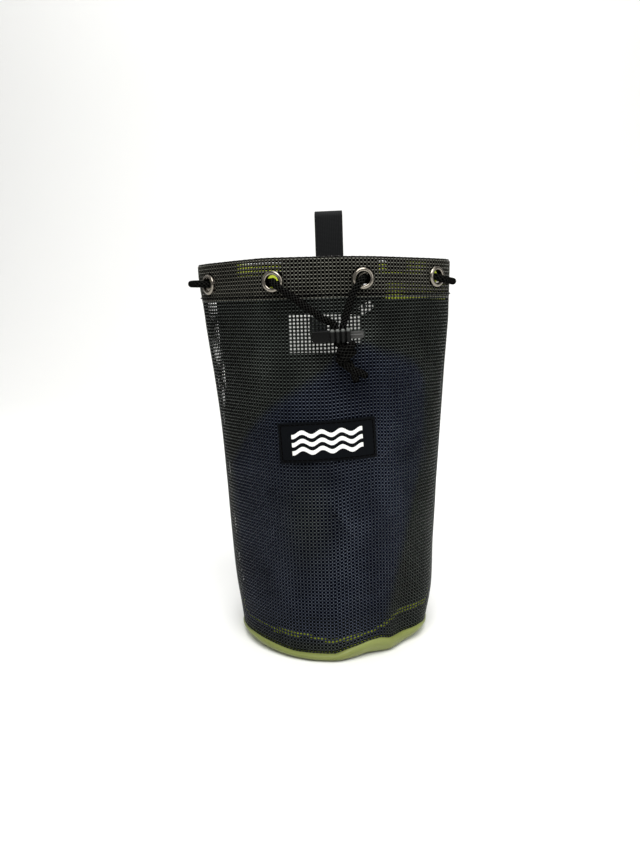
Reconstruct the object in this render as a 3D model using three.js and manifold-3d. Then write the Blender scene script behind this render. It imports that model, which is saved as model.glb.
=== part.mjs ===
// Floating belt pouch: a drawcord bag of coated mesh with a lime base, a foam float and a webbing belt loop.
// Millimetres, +Z up. The front faces -Y, and the origin is the middle of the base, on the ground.
import * as THREE from "three";
import { LoftGeometry } from "three/addons/geometries/LoftGeometry.js";
import { mergeVertices } from "three/addons/utils/BufferGeometryUtils.js";
import Module from "manifold-3d";

const wasm = await Module();
wasm.setup();

// Driving dimensions
const GAP = 0.3; // between pieces that touch
const BASE_RADIUS = 70;
const RIM_HEIGHT = 250;
const HEM_HEIGHT = 22;
const MESH_THICKNESS = 1.2;
const HEM_THICKNESS = 2.2;
const WALL_COLUMNS = 64;
const WALL_ROWS = 10;

const EYELET_COUNT = 8;
const EYELET_HEIGHT = 237;
const EYELET_BORE = 4.4; // radii
const EYELET_BARREL = 4.7;
const EYELET_FLANGE = 6.6;
const EYELET_SIDES = 12;
const THROUGH = 20; // length of a cutter that goes right through

const CORD_DIAMETER = 4.4;
const CORD_SIDES = 8;
const CORD_SWING = 5.6; // how far the cord's middle swings to each side of the hem
const BACK_SWING = 7.2; // the same where it passes over the belt loop

const SKIRT_THICKNESS = 1.2;
const FLOOR_THICKNESS = 1.6;

const WEBBING_WIDTH = 20;
const WEBBING_THICKNESS = 1.6;
const LOOP_TOP = 288;
const LOOP_FOOT = 229.5;
const LOOP_SPACE = 5;

const FACING_THICKNESS = 0.5;
const FACING_FOOT = 222;
const LABEL = { around: 2.8, height: 140.5, width: 60, tall: 25, thickness: 1, tilt: 2.8 };
const INNER_LABEL = { around: 185, height: 199.6, width: 55, tall: 29.4, thickness: 0.8, tilt: 0 };

const PAD_THICKNESS = 6;
const PAD_FOOT = 11.2;
const PAD_LEFT = -63; // degrees of girth from the middle of the front
const PAD_RIGHT_FOOT = 32;
const PAD_RIGHT_TOP = 63;

const LOCK = { middle: 12.2, height: 204, out: 6.8, tilt: 2 };
const LOCK_LENGTH = 30.3; // the sizes along the lock count from its closed end
const LOCK_BLOCK_END = 10.5;
const LOCK_BARREL_END = 23.2;
const LOCK_CORDS = [13.1, 17.9];
const LOCK_BORE_END = 6.5;
const LOCK_TRAVEL = 2.5;
const LOCK_RIBS = 4;

const DEGREE = (2 * Math.PI * BASE_RADIUS) / 360; // girth that one degree takes up
const BODY_TOP = RIM_HEIGHT - HEM_HEIGHT - GAP;

// Round the mouth the mesh is drawn flat between the front eyelets and from there to the side ones, and the
// flanks bend between those. A row gives the way that the wall faces, in degrees from the front, at some
// degrees of girth from the middle of the front. The other three quarters mirror this one.
const MOUTH_FACING = [
  { around: 0, facing: 0 },
  { around: 16, facing: 1 },
  { around: 35, facing: 36 },
  { around: 63, facing: 36 },
  { around: 90, facing: 90 },
];

// How much of the mouth's form the wall has at each height. The rest is the round of the base.
const WALL_FORM = [
  { height: 0, mouth: -0.06 },
  { height: 22, mouth: -0.04 },
  { height: 60, mouth: 0.07 },
  { height: 100, mouth: 0.22 },
  { height: 140, mouth: 0.44 },
  { height: 180, mouth: 0.67 },
  { height: 210, mouth: 0.89 },
  { height: 250, mouth: 1 },
];

// Dents in the mesh, each a soft hollow: where it is, how far it spreads, how deep.
const FOLDS = [
  { around: 45, height: 10, spread: 9, reach: 34, depth: 4 },
  { around: 64, height: 30, spread: 10, reach: 30, depth: -1.4 },
  { around: -84, height: 146, spread: 16, reach: 45, depth: 1.7 },
  { around: 87, height: 54, spread: 15, reach: 20, depth: 0.4 },
  { around: -36, height: 72, spread: 15, reach: 60, depth: 1.6 },
  { around: -10, height: 95, spread: 10, reach: 40, depth: -1.2 },
  { around: 8, height: 42, spread: 12, reach: 40, depth: -1.5 },
  { around: 140, height: 60, spread: 20, reach: 70, depth: 2 },
  { around: 212, height: 90, spread: 22, reach: 60, depth: 1.8 },
  { around: -95, height: 0, spread: 40, reach: 26, depth: 4.4 },
  { around: 95, height: 0, spread: 35, reach: 17, depth: 5.4 },
];

// The lower edge of the mesh, which rises where the cloth of the base pulls out.
const EDGE = [
  { around: -180, height: 7.5 },
  { around: -110, height: 4.5 },
  { around: -80, height: 4 },
  { around: -62, height: 7 },
  { around: -48, height: 8 },
  { around: -34, height: 6.9 },
  { around: -18, height: 4.7 },
  { around: 4, height: 5 },
  { around: 11, height: 8.2 },
  { around: 22, height: 11.6 },
  { around: 29, height: 12 },
  { around: 35, height: 9.4 },
  { around: 44, height: 8.5 },
  { around: 60, height: 9.4 },
  { around: 74, height: 6.6 },
  { around: 86, height: 4 },
  { around: 110, height: 4.5 },
  { around: 140, height: 7 },
  { around: 180, height: 7.5 },
];

// The top of the skirt that the base turns up inside the mesh.
const SKIRT = [
  { around: -180, height: 17 },
  { around: -12, height: 17 },
  { around: 1, height: 13.4 },
  { around: 17, height: 16.4 },
  { around: 25, height: 17.6 },
  { around: 45, height: 24 },
  { around: 58, height: 24.8 },
  { around: 95, height: 20 },
  { around: 140, height: 17 },
  { around: 180, height: 17 },
];

// The rounded edge of the base, from the ground up: shares of the height of the mesh's lower edge.
const BASE_SHAPE = [
  { share: 0, out: -8 },
  { share: 0.12, out: -4 },
  { share: 0.38, out: -1.2 },
  { share: 0.75, out: 0.8 },
];
const BASE_HOLLOW = [
  { share: 0, out: -14 },
  { share: 0.38, out: -5.5 },
];

// How far the base pushes out where it meets the ground, which fades out towards the mesh.
const BASE_PUSH = [
  { around: -180, out: 0 },
  { around: -85, out: -3 },
  { around: -60, out: -1.5 },
  { around: -42, out: 1.5 },
  { around: -28, out: 3 },
  { around: -8, out: 5 },
  { around: 7, out: 5 },
  { around: 13, out: 2.5 },
  { around: 22, out: -0.5 },
  { around: 28, out: 0.5 },
  { around: 36, out: 3.5 },
  { around: 44, out: 4 },
  { around: 54, out: 1 },
  { around: 66, out: -1.5 },
  { around: 90, out: -3 },
  { around: 130, out: 0 },
  { around: 180, out: 0 },
];

// The top edge of the foam float, which leans to one side.
const PAD_TOPS = [
  { around: -63, top: 120 },
  { around: -42, top: 147 },
  { around: -28, top: 161 },
  { around: 0, top: 182 },
  { around: 6, top: 189 },
  { around: 11, top: 199 },
  { around: 24, top: 199 },
  { around: 32, top: 195 },
  { around: 42, top: 192 },
  { around: 54, top: 186 },
  { around: 60, top: 176 },
  { around: 63, top: 160 },
];

// Half a span of the cord between two eyelets: the share of the way along, and the share of its swing.
const HALF_SPAN = [
  { along: 0, swing: 0 },
  { along: 0.03, swing: 0.55 },
  { along: 0.065, swing: 0.87 },
  { along: 0.12, swing: 0.985 },
  { along: 0.35, swing: 1 },
];

// The two legs of the cord, from the lock up to the front eyelets.
const LEFT_LEG = [
  { around: 7.6, height: 211, out: 6.3 },
  { around: 3, height: 213.8, out: 5.8 },
  { around: -3.4, height: 219.4, out: 5.2 },
  { around: -11, height: 226.4, out: 4.8 },
  { around: -17.6, height: 232.6, out: 4.9 },
  { around: -21.2, height: 236.1, out: 2.6 },
];
const RIGHT_LEG = [
  { around: 12.5, height: 211, out: 6.3 },
  { around: 13.6, height: 215.6, out: 5.8 },
  { around: 15.2, height: 221.4, out: 5.2 },
  { around: 17.2, height: 228.4, out: 4.8 },
  { around: 19.6, height: 233.4, out: 4.4 },
  { around: 21.4, height: 236.2, out: 2.2 },
];

// The knot below the lock: two turns of doubled cord, and the ends of the cord.
const KNOT = { around: 13.1, height: 193.3, out: 7.2, width: 13, tall: 11.6 };
const KNOT_TURNS = [
  { drop: -2.3, lean: 24 },
  { drop: 2.3, lean: -20 },
];
const TAILS = [
  [
    { around: 11.9, height: 193, out: 7.4 },
    { around: 15.7, height: 187, out: 6.4 },
    { around: 20.2, height: 182.5, out: 4.2 },
    { around: 22.9, height: 179, out: 3.2 },
  ],
  [
    { around: 14.3, height: 193, out: 7 },
    { around: 15.9, height: 186, out: 5.2 },
    { around: 17.1, height: 180, out: 3.4 },
    { around: 17.9, height: 175.5, out: 3 },
  ],
];

const MATERIALS = {
  mesh: { color: 0x2c2c28, roughness: 0.62 },
  hem: { color: 0x2a2824, roughness: 0.62 },
  nickel: { color: 0xb9b7b0, roughness: 0.28, metalness: 1 },
  cord: { color: 0x121213, roughness: 0.85 },
  lock: { color: 0x1c1d1e, roughness: 0.5 },
  plunger: { color: 0x3a3b3c, roughness: 0.45 },
  webbing: { color: 0x15171a, roughness: 0.9 },
  lime: { color: 0xa6b545, roughness: 0.5 },
  label: { color: 0x101114, roughness: 0.9 },
  paper: { color: 0xd9d9d4, roughness: 0.8 },
  foam: { color: 0x1a2148, roughness: 0.75 },
};

// A column of a table, read between its rows.
function readTable(rows, key, at, column) {
  const next = rows.findIndex((row) => row[key] >= at);
  if (next === 0) return rows[0][column];
  if (next < 0) return rows.at(-1)[column];
  const [low, high] = [rows[next - 1], rows[next]];
  const share = (at - low[key]) / (high[key] - low[key]);
  return THREE.MathUtils.lerp(low[column], high[column], share);
}

function fromFront(around) {
  return THREE.MathUtils.euclideanModulo(around + 180, 360) - 180;
}

// How strongly a soft bump of the given spread, in degrees, is felt at another angle.
function nearness(around, middle, spread) {
  return Math.exp(-((fromFront(around - middle) / spread) ** 2));
}

function lowerEdge(around) {
  return readTable(EDGE, "around", fromFront(around), "height");
}

function skirtTop(around) {
  return readTable(SKIRT, "around", fromFront(around), "height");
}

// The way that the wall faces, in degrees from the front towards +X.
function facing(around, height) {
  const near = fromFront(around);
  const side = Math.sign(near);
  const quarter = Math.min(Math.abs(near), 180 - Math.abs(near));
  const drawn = readTable(MOUTH_FACING, "around", quarter, "facing");
  const mouth = side * (Math.abs(near) > 90 ? 180 - drawn : drawn);
  const share = readTable(WALL_FORM, "height", height, "mouth");
  return THREE.MathUtils.lerp(near, mouth, share);
}

function outward(around, height) {
  const angle = THREE.MathUtils.degToRad(facing(around, height));
  return new THREE.Vector3(Math.sin(angle), -Math.cos(angle), 0);
}

// The outline at a height, degree by degree of girth, found by walking along the wall the way it faces.
const outlines = new Map();

function outline(height) {
  if (outlines.has(height)) return outlines.get(height);
  const points = [new THREE.Vector2(0, 0)];
  for (let degree = 0; degree < 360; degree += 1) {
    const normal = outward(degree + 0.5, height);
    points.push(new THREE.Vector2(-normal.y, normal.x).multiplyScalar(DEGREE).add(points.at(-1)));
  }
  const halfDepth = points[180].y / 2;
  points.forEach((point) => (point.y -= halfDepth));
  outlines.set(height, points);
  return points;
}

// A place by its degrees of girth from the middle of the front towards +X, its height,
// and its distance outside the outer face of the mesh.
function place({ around, height, out }) {
  const near = THREE.MathUtils.euclideanModulo(around, 360);
  const degree = Math.min(Math.floor(near), 359);
  const points = outline(height);
  const spot = points[degree].clone().lerp(points[degree + 1], near - degree);
  const dents = FOLDS.map((fold) => {
    const rise = (height - fold.height) / fold.reach;
    return fold.depth * nearness(around, fold.around, fold.spread) * Math.exp(-(rise ** 2));
  });
  const dent = dents.reduce((sum, depth) => sum + depth, 0);
  return new THREE.Vector3(spot.x, spot.y, height).addScaledVector(outward(around, height), out - dent);
}

function countTo(count, make) {
  return Array.from({ length: count }, (_, index) => make(index));
}

// One ring round the bag, at a height that may change on the way round, with any push added to its place.
function ring(heightAt, out, pushAt = () => 0) {
  return countTo(WALL_COLUMNS, (column) => {
    const around = (360 * column) / WALL_COLUMNS;
    return place({ around, height: heightAt(around), out: out + pushAt(around) });
  });
}

// A sheet that follows the wall, lofted sideways: each section goes up its inner face and down its outer one.
function sheet({ columns, rows, inner, outer, at }) {
  const sections = countTo(columns + 1, (column) => {
    const up = countTo(rows + 1, (row) => at(column / columns, row / rows));
    const innerFace = up.map((spot) => place({ ...spot, out: inner }));
    const outerFace = up.map((spot) => place({ ...spot, out: outer }));
    return [...innerFace, ...outerFace.reverse()];
  });
  return new LoftGeometry(sections, { capStart: true, capEnd: true });
}

function solidOf(geometry) {
  const bare = new THREE.BufferGeometry().copy(geometry);
  bare.deleteAttribute("normal");
  bare.deleteAttribute("uv");
  const merged = mergeVertices(bare);
  const vertProperties = new Float32Array(merged.attributes.position.array);
  const triVerts = new Uint32Array(merged.index.array);
  return new wasm.Manifold(new wasm.Mesh({ numProp: 3, vertProperties, triVerts }));
}

function geometryOf(solid) {
  const { vertProperties, triVerts } = solid.getMesh();
  const geometry = new THREE.BufferGeometry();
  geometry.setAttribute("position", new THREE.BufferAttribute(vertProperties, 3));
  geometry.setIndex(new THREE.BufferAttribute(triVerts, 1));
  geometry.computeVertexNormals();
  return geometry;
}

function join(geometries) {
  const [first, ...others] = geometries.map(solidOf);
  return geometryOf(others.reduce((sum, solid) => sum.add(solid), first));
}

function cut(geometry, cutters) {
  const whole = solidOf(geometry);
  return geometryOf(cutters.map(solidOf).reduce((left, cutter) => left.subtract(cutter), whole));
}

const pouch = new THREE.Group();

function add(name, geometry, material, group = pouch) {
  const surface = new THREE.MeshStandardMaterial(MATERIALS[material]);
  const mesh = new THREE.Mesh(geometry, surface);
  mesh.name = name;
  group.add(mesh);
  return mesh;
}

// Mesh body and hem

function meshBody() {
  const heightOf = (row) => (around) => {
    const share = (row / WALL_ROWS) ** 1.25; // closer rows near the base
    return THREE.MathUtils.lerp(lowerEdge(around), BODY_TOP, share);
  };
  const outer = countTo(WALL_ROWS + 1, (row) => ring(heightOf(row), 0));
  const inner = countTo(WALL_ROWS + 1, (row) => ring(heightOf(WALL_ROWS - row), -MESH_THICKNESS));
  return new LoftGeometry([...outer, ...inner, outer[0]]);
}

const eyelets = countTo(EYELET_COUNT, (index) => {
  const around = ((index + 0.5) * 360) / EYELET_COUNT;
  return { around, height: EYELET_HEIGHT, faced: around > 90 && around < 270 };
});

function eyeletHole({ around, height }) {
  const hole = new THREE.CylinderGeometry(EYELET_BARREL + GAP, EYELET_BARREL + GAP, THROUGH, EYELET_SIDES);
  const turn = new THREE.Quaternion().setFromUnitVectors(
    new THREE.Vector3(0, 1, 0),
    outward(around, height),
  );
  const middle = place({ around, height, out: -HEM_THICKNESS / 2 });
  return hole.applyQuaternion(turn).translate(middle.x, middle.y, middle.z);
}

function hemBand() {
  const heights = [RIM_HEIGHT - HEM_HEIGHT, RIM_HEIGHT];
  const outer = heights.map((height) => ring(() => height, 0));
  const inner = heights.map((height) => ring(() => height, -HEM_THICKNESS)).reverse();
  return cut(new LoftGeometry([...outer, ...inner, outer[0]]), eyelets.map(eyeletHole));
}

function rimFacing() {
  const start = 90;
  const end = 270;
  const face = -HEM_THICKNESS - GAP;
  const strip = sheet({
    columns: 24,
    rows: 1,
    inner: face - FACING_THICKNESS,
    outer: face,
    at: (along, up) => ({
      around: THREE.MathUtils.lerp(start, end, along),
      height: THREE.MathUtils.lerp(FACING_FOOT, RIM_HEIGHT - 1, up),
    }),
  });
  return cut(strip, eyelets.filter((eyelet) => eyelet.faced).map(eyeletHole));
}

add("mesh_body", meshBody(), "mesh");
add("hem_band", hemBand(), "hem");
add("rim_facing", rimFacing(), "lime");

// Eyelets: a barrel through the hem with a rolled flange at each end

function eyeletSpool(grip) {
  const crown = 1.2;
  const roll = 0.5; // how far the edges are rounded off
  const back = -grip - GAP;
  const foot = back - 0.7;
  const profile = [
    [EYELET_BORE, -grip],
    [EYELET_BORE + roll, foot],
    [EYELET_FLANGE - roll, foot],
    [EYELET_FLANGE, back],
    [EYELET_BARREL, back],
    [EYELET_BARREL, GAP],
    [EYELET_FLANGE, GAP],
    [EYELET_FLANGE - roll, crown],
    [EYELET_BORE + roll, crown],
    [EYELET_BORE, 0],
  ].map(([radius, along]) => new THREE.Vector2(radius, along));
  return new THREE.LatheGeometry([...profile, profile[0]], EYELET_SIDES);
}

eyelets.forEach((eyelet, index) => {
  const curveRoom = 0.8; // the inner flange is flat and the wall behind it is hollow
  const facing = eyelet.faced ? GAP + FACING_THICKNESS : 0;
  const grip = HEM_THICKNESS + facing + curveRoom;
  const mesh = add(`eyelet_${index + 1}`, eyeletSpool(grip), "nickel");
  mesh.position.copy(place({ ...eyelet, out: 0 }));
  mesh.quaternion.setFromUnitVectors(
    new THREE.Vector3(0, 1, 0),
    outward(eyelet.around, eyelet.height),
  );
});

// Drawcord: in and out of the eyelets all the way round, both ends down through the lock

function roundSection(diameter) {
  const corners = countTo(CORD_SIDES, (side) => {
    const angle = (2 * Math.PI * side) / CORD_SIDES;
    return new THREE.Vector2(Math.cos(angle), Math.sin(angle)).multiplyScalar(diameter / 2);
  });
  return new THREE.Shape(corners);
}

// A curve that is stepped at the points of its list, which lie closer where it bends.
class SteppedCurve extends THREE.CatmullRomCurve3 {
  getUtoTmapping(share) {
    return share;
  }
}

function tube(points) {
  const extrudePath = new SteppedCurve(points, false, "centripetal");
  const steps = points.length - 1;
  return new THREE.ExtrudeGeometry(roundSection(CORD_DIAMETER), { steps, extrudePath });
}

const lockPlace = new THREE.Vector3(
  LOCK.middle,
  place({ around: LOCK.middle / DEGREE, ...LOCK }).y,
  LOCK.height,
);
const knotTop = KNOT.height + KNOT.tall / 2;

function throughLock(along) {
  const x = LOCK.middle - LOCK_LENGTH / 2 + along;
  const clear = LOCK.height + 4.8; // just above the barrel
  return [knotTop + GAP, LOCK.height, clear].map(
    (height) => new THREE.Vector3(x, lockPlace.y, height),
  );
}

function cordRoute() {
  const pitch = 360 / EYELET_COUNT;
  const middle = -1.3; // the cord crosses at the middle of the eyelets
  const secondHalf = HALF_SPAN.slice(1).map(({ along, swing }) => ({ along: 1 - along, swing }));
  const wholeSpan = [...HALF_SPAN, ...secondHalf.reverse()];
  const weave = countTo(EYELET_COUNT - 1, (span) => {
    const side = span % 2 === 0 ? -1 : 1;
    const reach = span === EYELET_COUNT / 2 - 1 ? BACK_SWING : CORD_SWING;
    return wholeSpan.map(({ along, swing }) => ({
      around: -pitch * (0.5 + span + along),
      height: EYELET_HEIGHT,
      out: middle + side * swing * reach,
    }));
  }).flat();
  const lastEyelet = { around: pitch / 2, height: EYELET_HEIGHT, out: middle };
  const round = [...LEFT_LEG, ...weave, lastEyelet, ...RIGHT_LEG.toReversed()].map(place);
  const [left, right] = LOCK_CORDS.map(throughLock);
  return [...left, ...round, ...right.toReversed()];
}

add("drawcord", tube(cordRoute()), "cord");

// Knot with its two tails

function cordKnot() {
  const middle = place(KNOT);
  const turnRadius = (KNOT.width - CORD_DIAMETER) / 2;
  const turns = KNOT_TURNS.map(({ drop, lean }) => {
    const turn = new THREE.TorusGeometry(turnRadius, CORD_DIAMETER / 2, 8, 12);
    turn.rotateY(THREE.MathUtils.degToRad(lean));
    return turn.translate(middle.x, middle.y, middle.z + drop);
  });
  const core = new THREE.CylinderGeometry(turnRadius, turnRadius, KNOT.tall, 10);
  core.rotateX(Math.PI / 2).translate(middle.x, middle.y, middle.z);
  const tails = TAILS.map((points) => tube(points.map(place)));
  return join([core, ...turns, ...tails]);
}

add("cord_knot", cordKnot(), "cord");

// Cord lock: a ribbed barrel, closed at one end, and a plunger that is pressed in from the other

const alongX = new THREE.Matrix4().makeBasis(
  new THREE.Vector3(0, 1, 0),
  new THREE.Vector3(0, 0, 1),
  new THREE.Vector3(1, 0, 0),
);

function bar({ from, to, depth, tall, corner }) {
  const [y, z] = [depth / 2 - corner, tall / 2 - corner];
  const outline = new THREE.Shape();
  outline.absarc(y, z, corner, 0, Math.PI / 2);
  outline.absarc(-y, z, corner, Math.PI / 2, Math.PI);
  outline.absarc(-y, -z, corner, Math.PI, 1.5 * Math.PI);
  outline.absarc(y, -z, corner, 1.5 * Math.PI, 2 * Math.PI);
  const options = { depth: to - from, curveSegments: 1, bevelEnabled: false };
  const middle = LOCK_LENGTH / 2;
  return new THREE.ExtrudeGeometry(outline, options)
    .applyMatrix4(alongX)
    .translate(from - middle, 0, 0);
}

function cordSlot(travel) {
  const width = CORD_DIAMETER + 2 * GAP;
  const from = LOCK_CORDS[0] - width / 2 - GAP / 2;
  const to = LOCK_CORDS[1] + width / 2 + GAP / 2 + travel;
  const slot = new THREE.BoxGeometry(to - from, width, THROUGH);
  return slot.translate((from + to) / 2 - LOCK_LENGTH / 2, 0, 0);
}

const PLUNGER = { from: 9.2, to: LOCK_LENGTH, depth: 7, tall: 4.4, corner: 0.8 };

function lockBarrel() {
  const block = bar({ from: 0, to: LOCK_BLOCK_END, depth: 9, tall: 6.4, corner: 1.2 });
  const ribbed = { from: LOCK_BLOCK_END - 0.5, to: LOCK_BARREL_END, depth: 9.8, tall: 7, corner: 1.6 };
  const pitch = (LOCK_BARREL_END - LOCK_BLOCK_END) / LOCK_RIBS;
  const ribs = countTo(LOCK_RIBS, (index) => {
    const from = LOCK_BLOCK_END + (index + 0.2) * pitch;
    return bar({ from, to: from + 0.6 * pitch, depth: 10.6, tall: 7.8, corner: 2 });
  });
  const clearance = 0.2;
  const bore = bar({
    from: LOCK_BORE_END,
    to: LOCK_LENGTH,
    depth: PLUNGER.depth + 2 * clearance,
    tall: PLUNGER.tall + 2 * clearance,
    corner: PLUNGER.corner,
  });
  return cut(join([block, bar(ribbed), ...ribs]), [bore, cordSlot(0)]);
}

const lock = new THREE.Group();
lock.position.copy(lockPlace);
lock.rotation.y = -THREE.MathUtils.degToRad(LOCK.tilt);
pouch.add(lock);
add("lock_barrel", lockBarrel(), "lock", lock);
add("lock_plunger", cut(bar(PLUNGER), [cordSlot(LOCK_TRAVEL)]), "plunger", lock);

// Belt loop: webbing folded over, one leg outside the hem and one inside

function beltLoop() {
  const back = place({ around: 180, height: LOOP_FOOT, out: GAP }).y;
  const middle = back - LOOP_SPACE / 2;
  const inside = LOOP_SPACE / 2;
  const outside = inside + WEBBING_THICKNESS;
  const bend = LOOP_TOP - outside;
  const outline = new THREE.Shape();
  outline.moveTo(middle + inside, LOOP_FOOT);
  outline.lineTo(middle + outside, LOOP_FOOT);
  outline.absarc(middle, bend, outside, 0, Math.PI);
  outline.lineTo(middle - outside, LOOP_FOOT);
  outline.lineTo(middle - inside, LOOP_FOOT);
  outline.absarc(middle, bend, inside, Math.PI, 0, true);
  const options = { depth: WEBBING_WIDTH, curveSegments: 8, bevelEnabled: false };
  return new THREE.ExtrudeGeometry(outline, options);
}

const loop = add("belt_loop", beltLoop(), "webbing");
loop.setRotationFromMatrix(alongX);
loop.position.x = -WEBBING_WIDTH / 2;

// Base: a disc whose edge bulges below the mesh and whose skirt is turned up inside it

function basePanel() {
  const skirt = -MESH_THICKNESS - GAP;
  const lining = skirt - SKIRT_THICKNESS;
  const underMesh = (around) => lowerEdge(around) - GAP;
  const push = (around) => readTable(BASE_PUSH, "around", fromFront(around), "out");
  const lifted = ({ share, out }, lift) =>
    ring((around) => lift + share * lowerEdge(around), out, (around) => (1 - share) * push(around));
  const outside = [
    ...BASE_SHAPE.map((row) => lifted(row, 0)),
    ring(underMesh, 0),
    ring(underMesh, skirt),
    ring(skirtTop, skirt),
  ];
  const hollow = [
    ...BASE_HOLLOW.map((row) => lifted(row, FLOOR_THICKNESS)),
    lifted({ share: 0.75, out: lining }, FLOOR_THICKNESS),
    ring((around) => skirtTop(around) + 1, lining),
  ];
  const caps = { capStart: true, capEnd: true };
  return cut(new LoftGeometry(outside, caps), [new LoftGeometry(hollow, caps)]);
}

add("base_panel", basePanel(), "lime");

// Labels and foam float

function sewnLabel({ around, height, width, tall, tilt }, inner, outer) {
  const turn = THREE.MathUtils.degToRad(tilt);
  return sheet({
    columns: 10,
    rows: 2,
    inner,
    outer,
    at: (along, up) => {
      const across = new THREE.Vector2((along - 0.5) * width, (up - 0.5) * tall);
      across.rotateAround(new THREE.Vector2(), turn);
      return { around: around + across.x / DEGREE, height: height + across.y };
    },
  });
}

function floatPad() {
  const outer = -MESH_THICKNESS - SKIRT_THICKNESS - 2.2 * GAP;
  const spreadRate = 1.4; // the right edge leans out and is upright before it reaches the top
  return sheet({
    columns: 18,
    rows: 6,
    inner: outer - PAD_THICKNESS,
    outer,
    at: (along, up) => {
      const right = THREE.MathUtils.lerp(PAD_RIGHT_FOOT, PAD_RIGHT_TOP, Math.min(1, spreadRate * up));
      const under = THREE.MathUtils.lerp(PAD_LEFT, PAD_RIGHT_TOP, along);
      const top = readTable(PAD_TOPS, "around", under, "top");
      return {
        around: THREE.MathUtils.lerp(PAD_LEFT, right, along),
        height: THREE.MathUtils.lerp(PAD_FOOT, top, up),
      };
    },
  });
}

const labelFace = GAP + LABEL.thickness;
const innerFace = -MESH_THICKNESS - GAP;
add("front_label", sewnLabel(LABEL, GAP, labelFace), "label");
add("inner_label", sewnLabel(INNER_LABEL, innerFace - INNER_LABEL.thickness, innerFace), "paper");
add("float_pad", floatPad(), "foam");

export default pouch;
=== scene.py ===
import math

import bpy
import numpy as np
from mathutils import Matrix, Vector


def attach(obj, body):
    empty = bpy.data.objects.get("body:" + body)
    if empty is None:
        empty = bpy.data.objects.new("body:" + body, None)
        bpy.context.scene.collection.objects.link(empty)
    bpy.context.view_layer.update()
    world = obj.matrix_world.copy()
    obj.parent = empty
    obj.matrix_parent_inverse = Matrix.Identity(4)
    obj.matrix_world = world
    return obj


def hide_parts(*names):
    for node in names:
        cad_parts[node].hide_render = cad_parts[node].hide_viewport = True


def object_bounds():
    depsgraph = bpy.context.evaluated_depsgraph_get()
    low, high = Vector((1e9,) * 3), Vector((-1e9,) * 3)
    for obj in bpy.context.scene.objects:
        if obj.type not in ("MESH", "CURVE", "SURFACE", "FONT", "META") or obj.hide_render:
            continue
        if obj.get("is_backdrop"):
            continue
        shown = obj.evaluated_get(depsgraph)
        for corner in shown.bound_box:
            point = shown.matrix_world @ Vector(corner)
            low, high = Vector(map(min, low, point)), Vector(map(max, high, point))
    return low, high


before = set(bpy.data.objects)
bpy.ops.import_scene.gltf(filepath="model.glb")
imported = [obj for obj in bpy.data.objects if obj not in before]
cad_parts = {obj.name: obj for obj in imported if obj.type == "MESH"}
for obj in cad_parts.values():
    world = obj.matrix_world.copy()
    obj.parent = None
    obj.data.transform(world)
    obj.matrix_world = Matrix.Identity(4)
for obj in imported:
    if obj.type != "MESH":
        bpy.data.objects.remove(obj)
cadBox = [list(corner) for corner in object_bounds()]
mm = 0.001  # sizes below are in millimetres, meshes in metres
print("frame loaded:", len(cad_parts), "nodes")

camera = {
    "around": 4.481, "distance": 515.87, "height": 229.2,  # where it stands, from the middle of the base
    "pan": 0.72, "pitch": 10.0, "roll": 1.97, "focalPixels": 756.1, "imageHeight": 853,
}

wall = {
    "baseRadius": 70, "rim": 250, "hemFoot": 228,
    # the way the wall faces round the mouth: degrees of girth from the front, degrees it is turned
    "mouthFacing": ((0, 0), (16, 1), (35, 36), (63, 36), (90, 90)),
    # how much of the mouth's form the wall has at each height
    "form": (
        (0, -0.06), (22, -0.04), (60, 0.07), (100, 0.22), (140, 0.44), (180, 0.67), (210, 0.89), (250, 1),
    ),
    # dents: around, height, spread, reach, depth
    "dents": (
        (45, 10, 9, 34, 4), (64, 30, 10, 30, -1.4), (-84, 146, 16, 45, 1.7), (87, 54, 15, 20, 0.4),
        (-36, 72, 15, 60, 1.6), (-10, 95, 10, 40, -1.2), (8, 42, 12, 40, -1.5), (140, 60, 20, 70, 2),
        (212, 90, 22, 60, 1.8), (-95, 0, 40, 26, 4.4), (95, 0, 35, 17, 5.4), (9.5, 86, 3, 24, -0.9),
        (-82, 244, 16, 20, -2),
    ),
    "lowerEdge": (
        (-180, 7.5), (-110, 4.5), (-80, 4), (-62, 7), (-48, 8), (-34, 6.9), (-18, 4.7), (4, 5), (11, 8.2),
        (22, 11.6), (29, 12), (35, 9.4), (44, 8.5), (60, 9.4), (74, 6.6), (86, 4), (110, 4.5), (140, 7),
        (180, 7.5),
    ),
    "skirtTop": (
        (-180, 17), (-12, 17), (1, 13.4), (17, 16.4), (25, 17.6), (45, 24), (58, 24.8), (95, 20), (140, 17),
        (180, 17),
    ),
}
girth = 2 * math.pi * wall["baseRadius"]
degree = girth / 360


def fromFront(around):
    return (np.asarray(around, float) + 180) % 360 - 180


def readTable(rows, at):
    return np.interp(at, *zip(*rows))


def lowerEdge(around):
    return readTable(wall["lowerEdge"], fromFront(around))


def skirtTop(around):
    return readTable(wall["skirtTop"], fromFront(around))


def facingAt(around, height):
    near = fromFront(around)
    quarter = np.minimum(abs(near), 180 - abs(near))
    drawn = readTable(wall["mouthFacing"], quarter)
    mouth = np.sign(near) * np.where(abs(near) > 90, 180 - drawn, drawn)
    return np.radians(near + (mouth - near) * readTable(wall["form"], height))


# The outline at every second millimetre of height, found by walking along the wall the way it faces
levels = np.arange(0, 300, 2.0)
walk = facingAt(np.arange(360)[None, :] + 0.5, levels[:, None])
outlineX = np.pad(np.cumsum(np.cos(walk) * degree, axis=1), ((0, 0), (1, 0)))
outlineY = np.pad(np.cumsum(np.sin(walk) * degree, axis=1), ((0, 0), (1, 0)))
outlineY -= outlineY[:, 180:181] / 2


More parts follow.
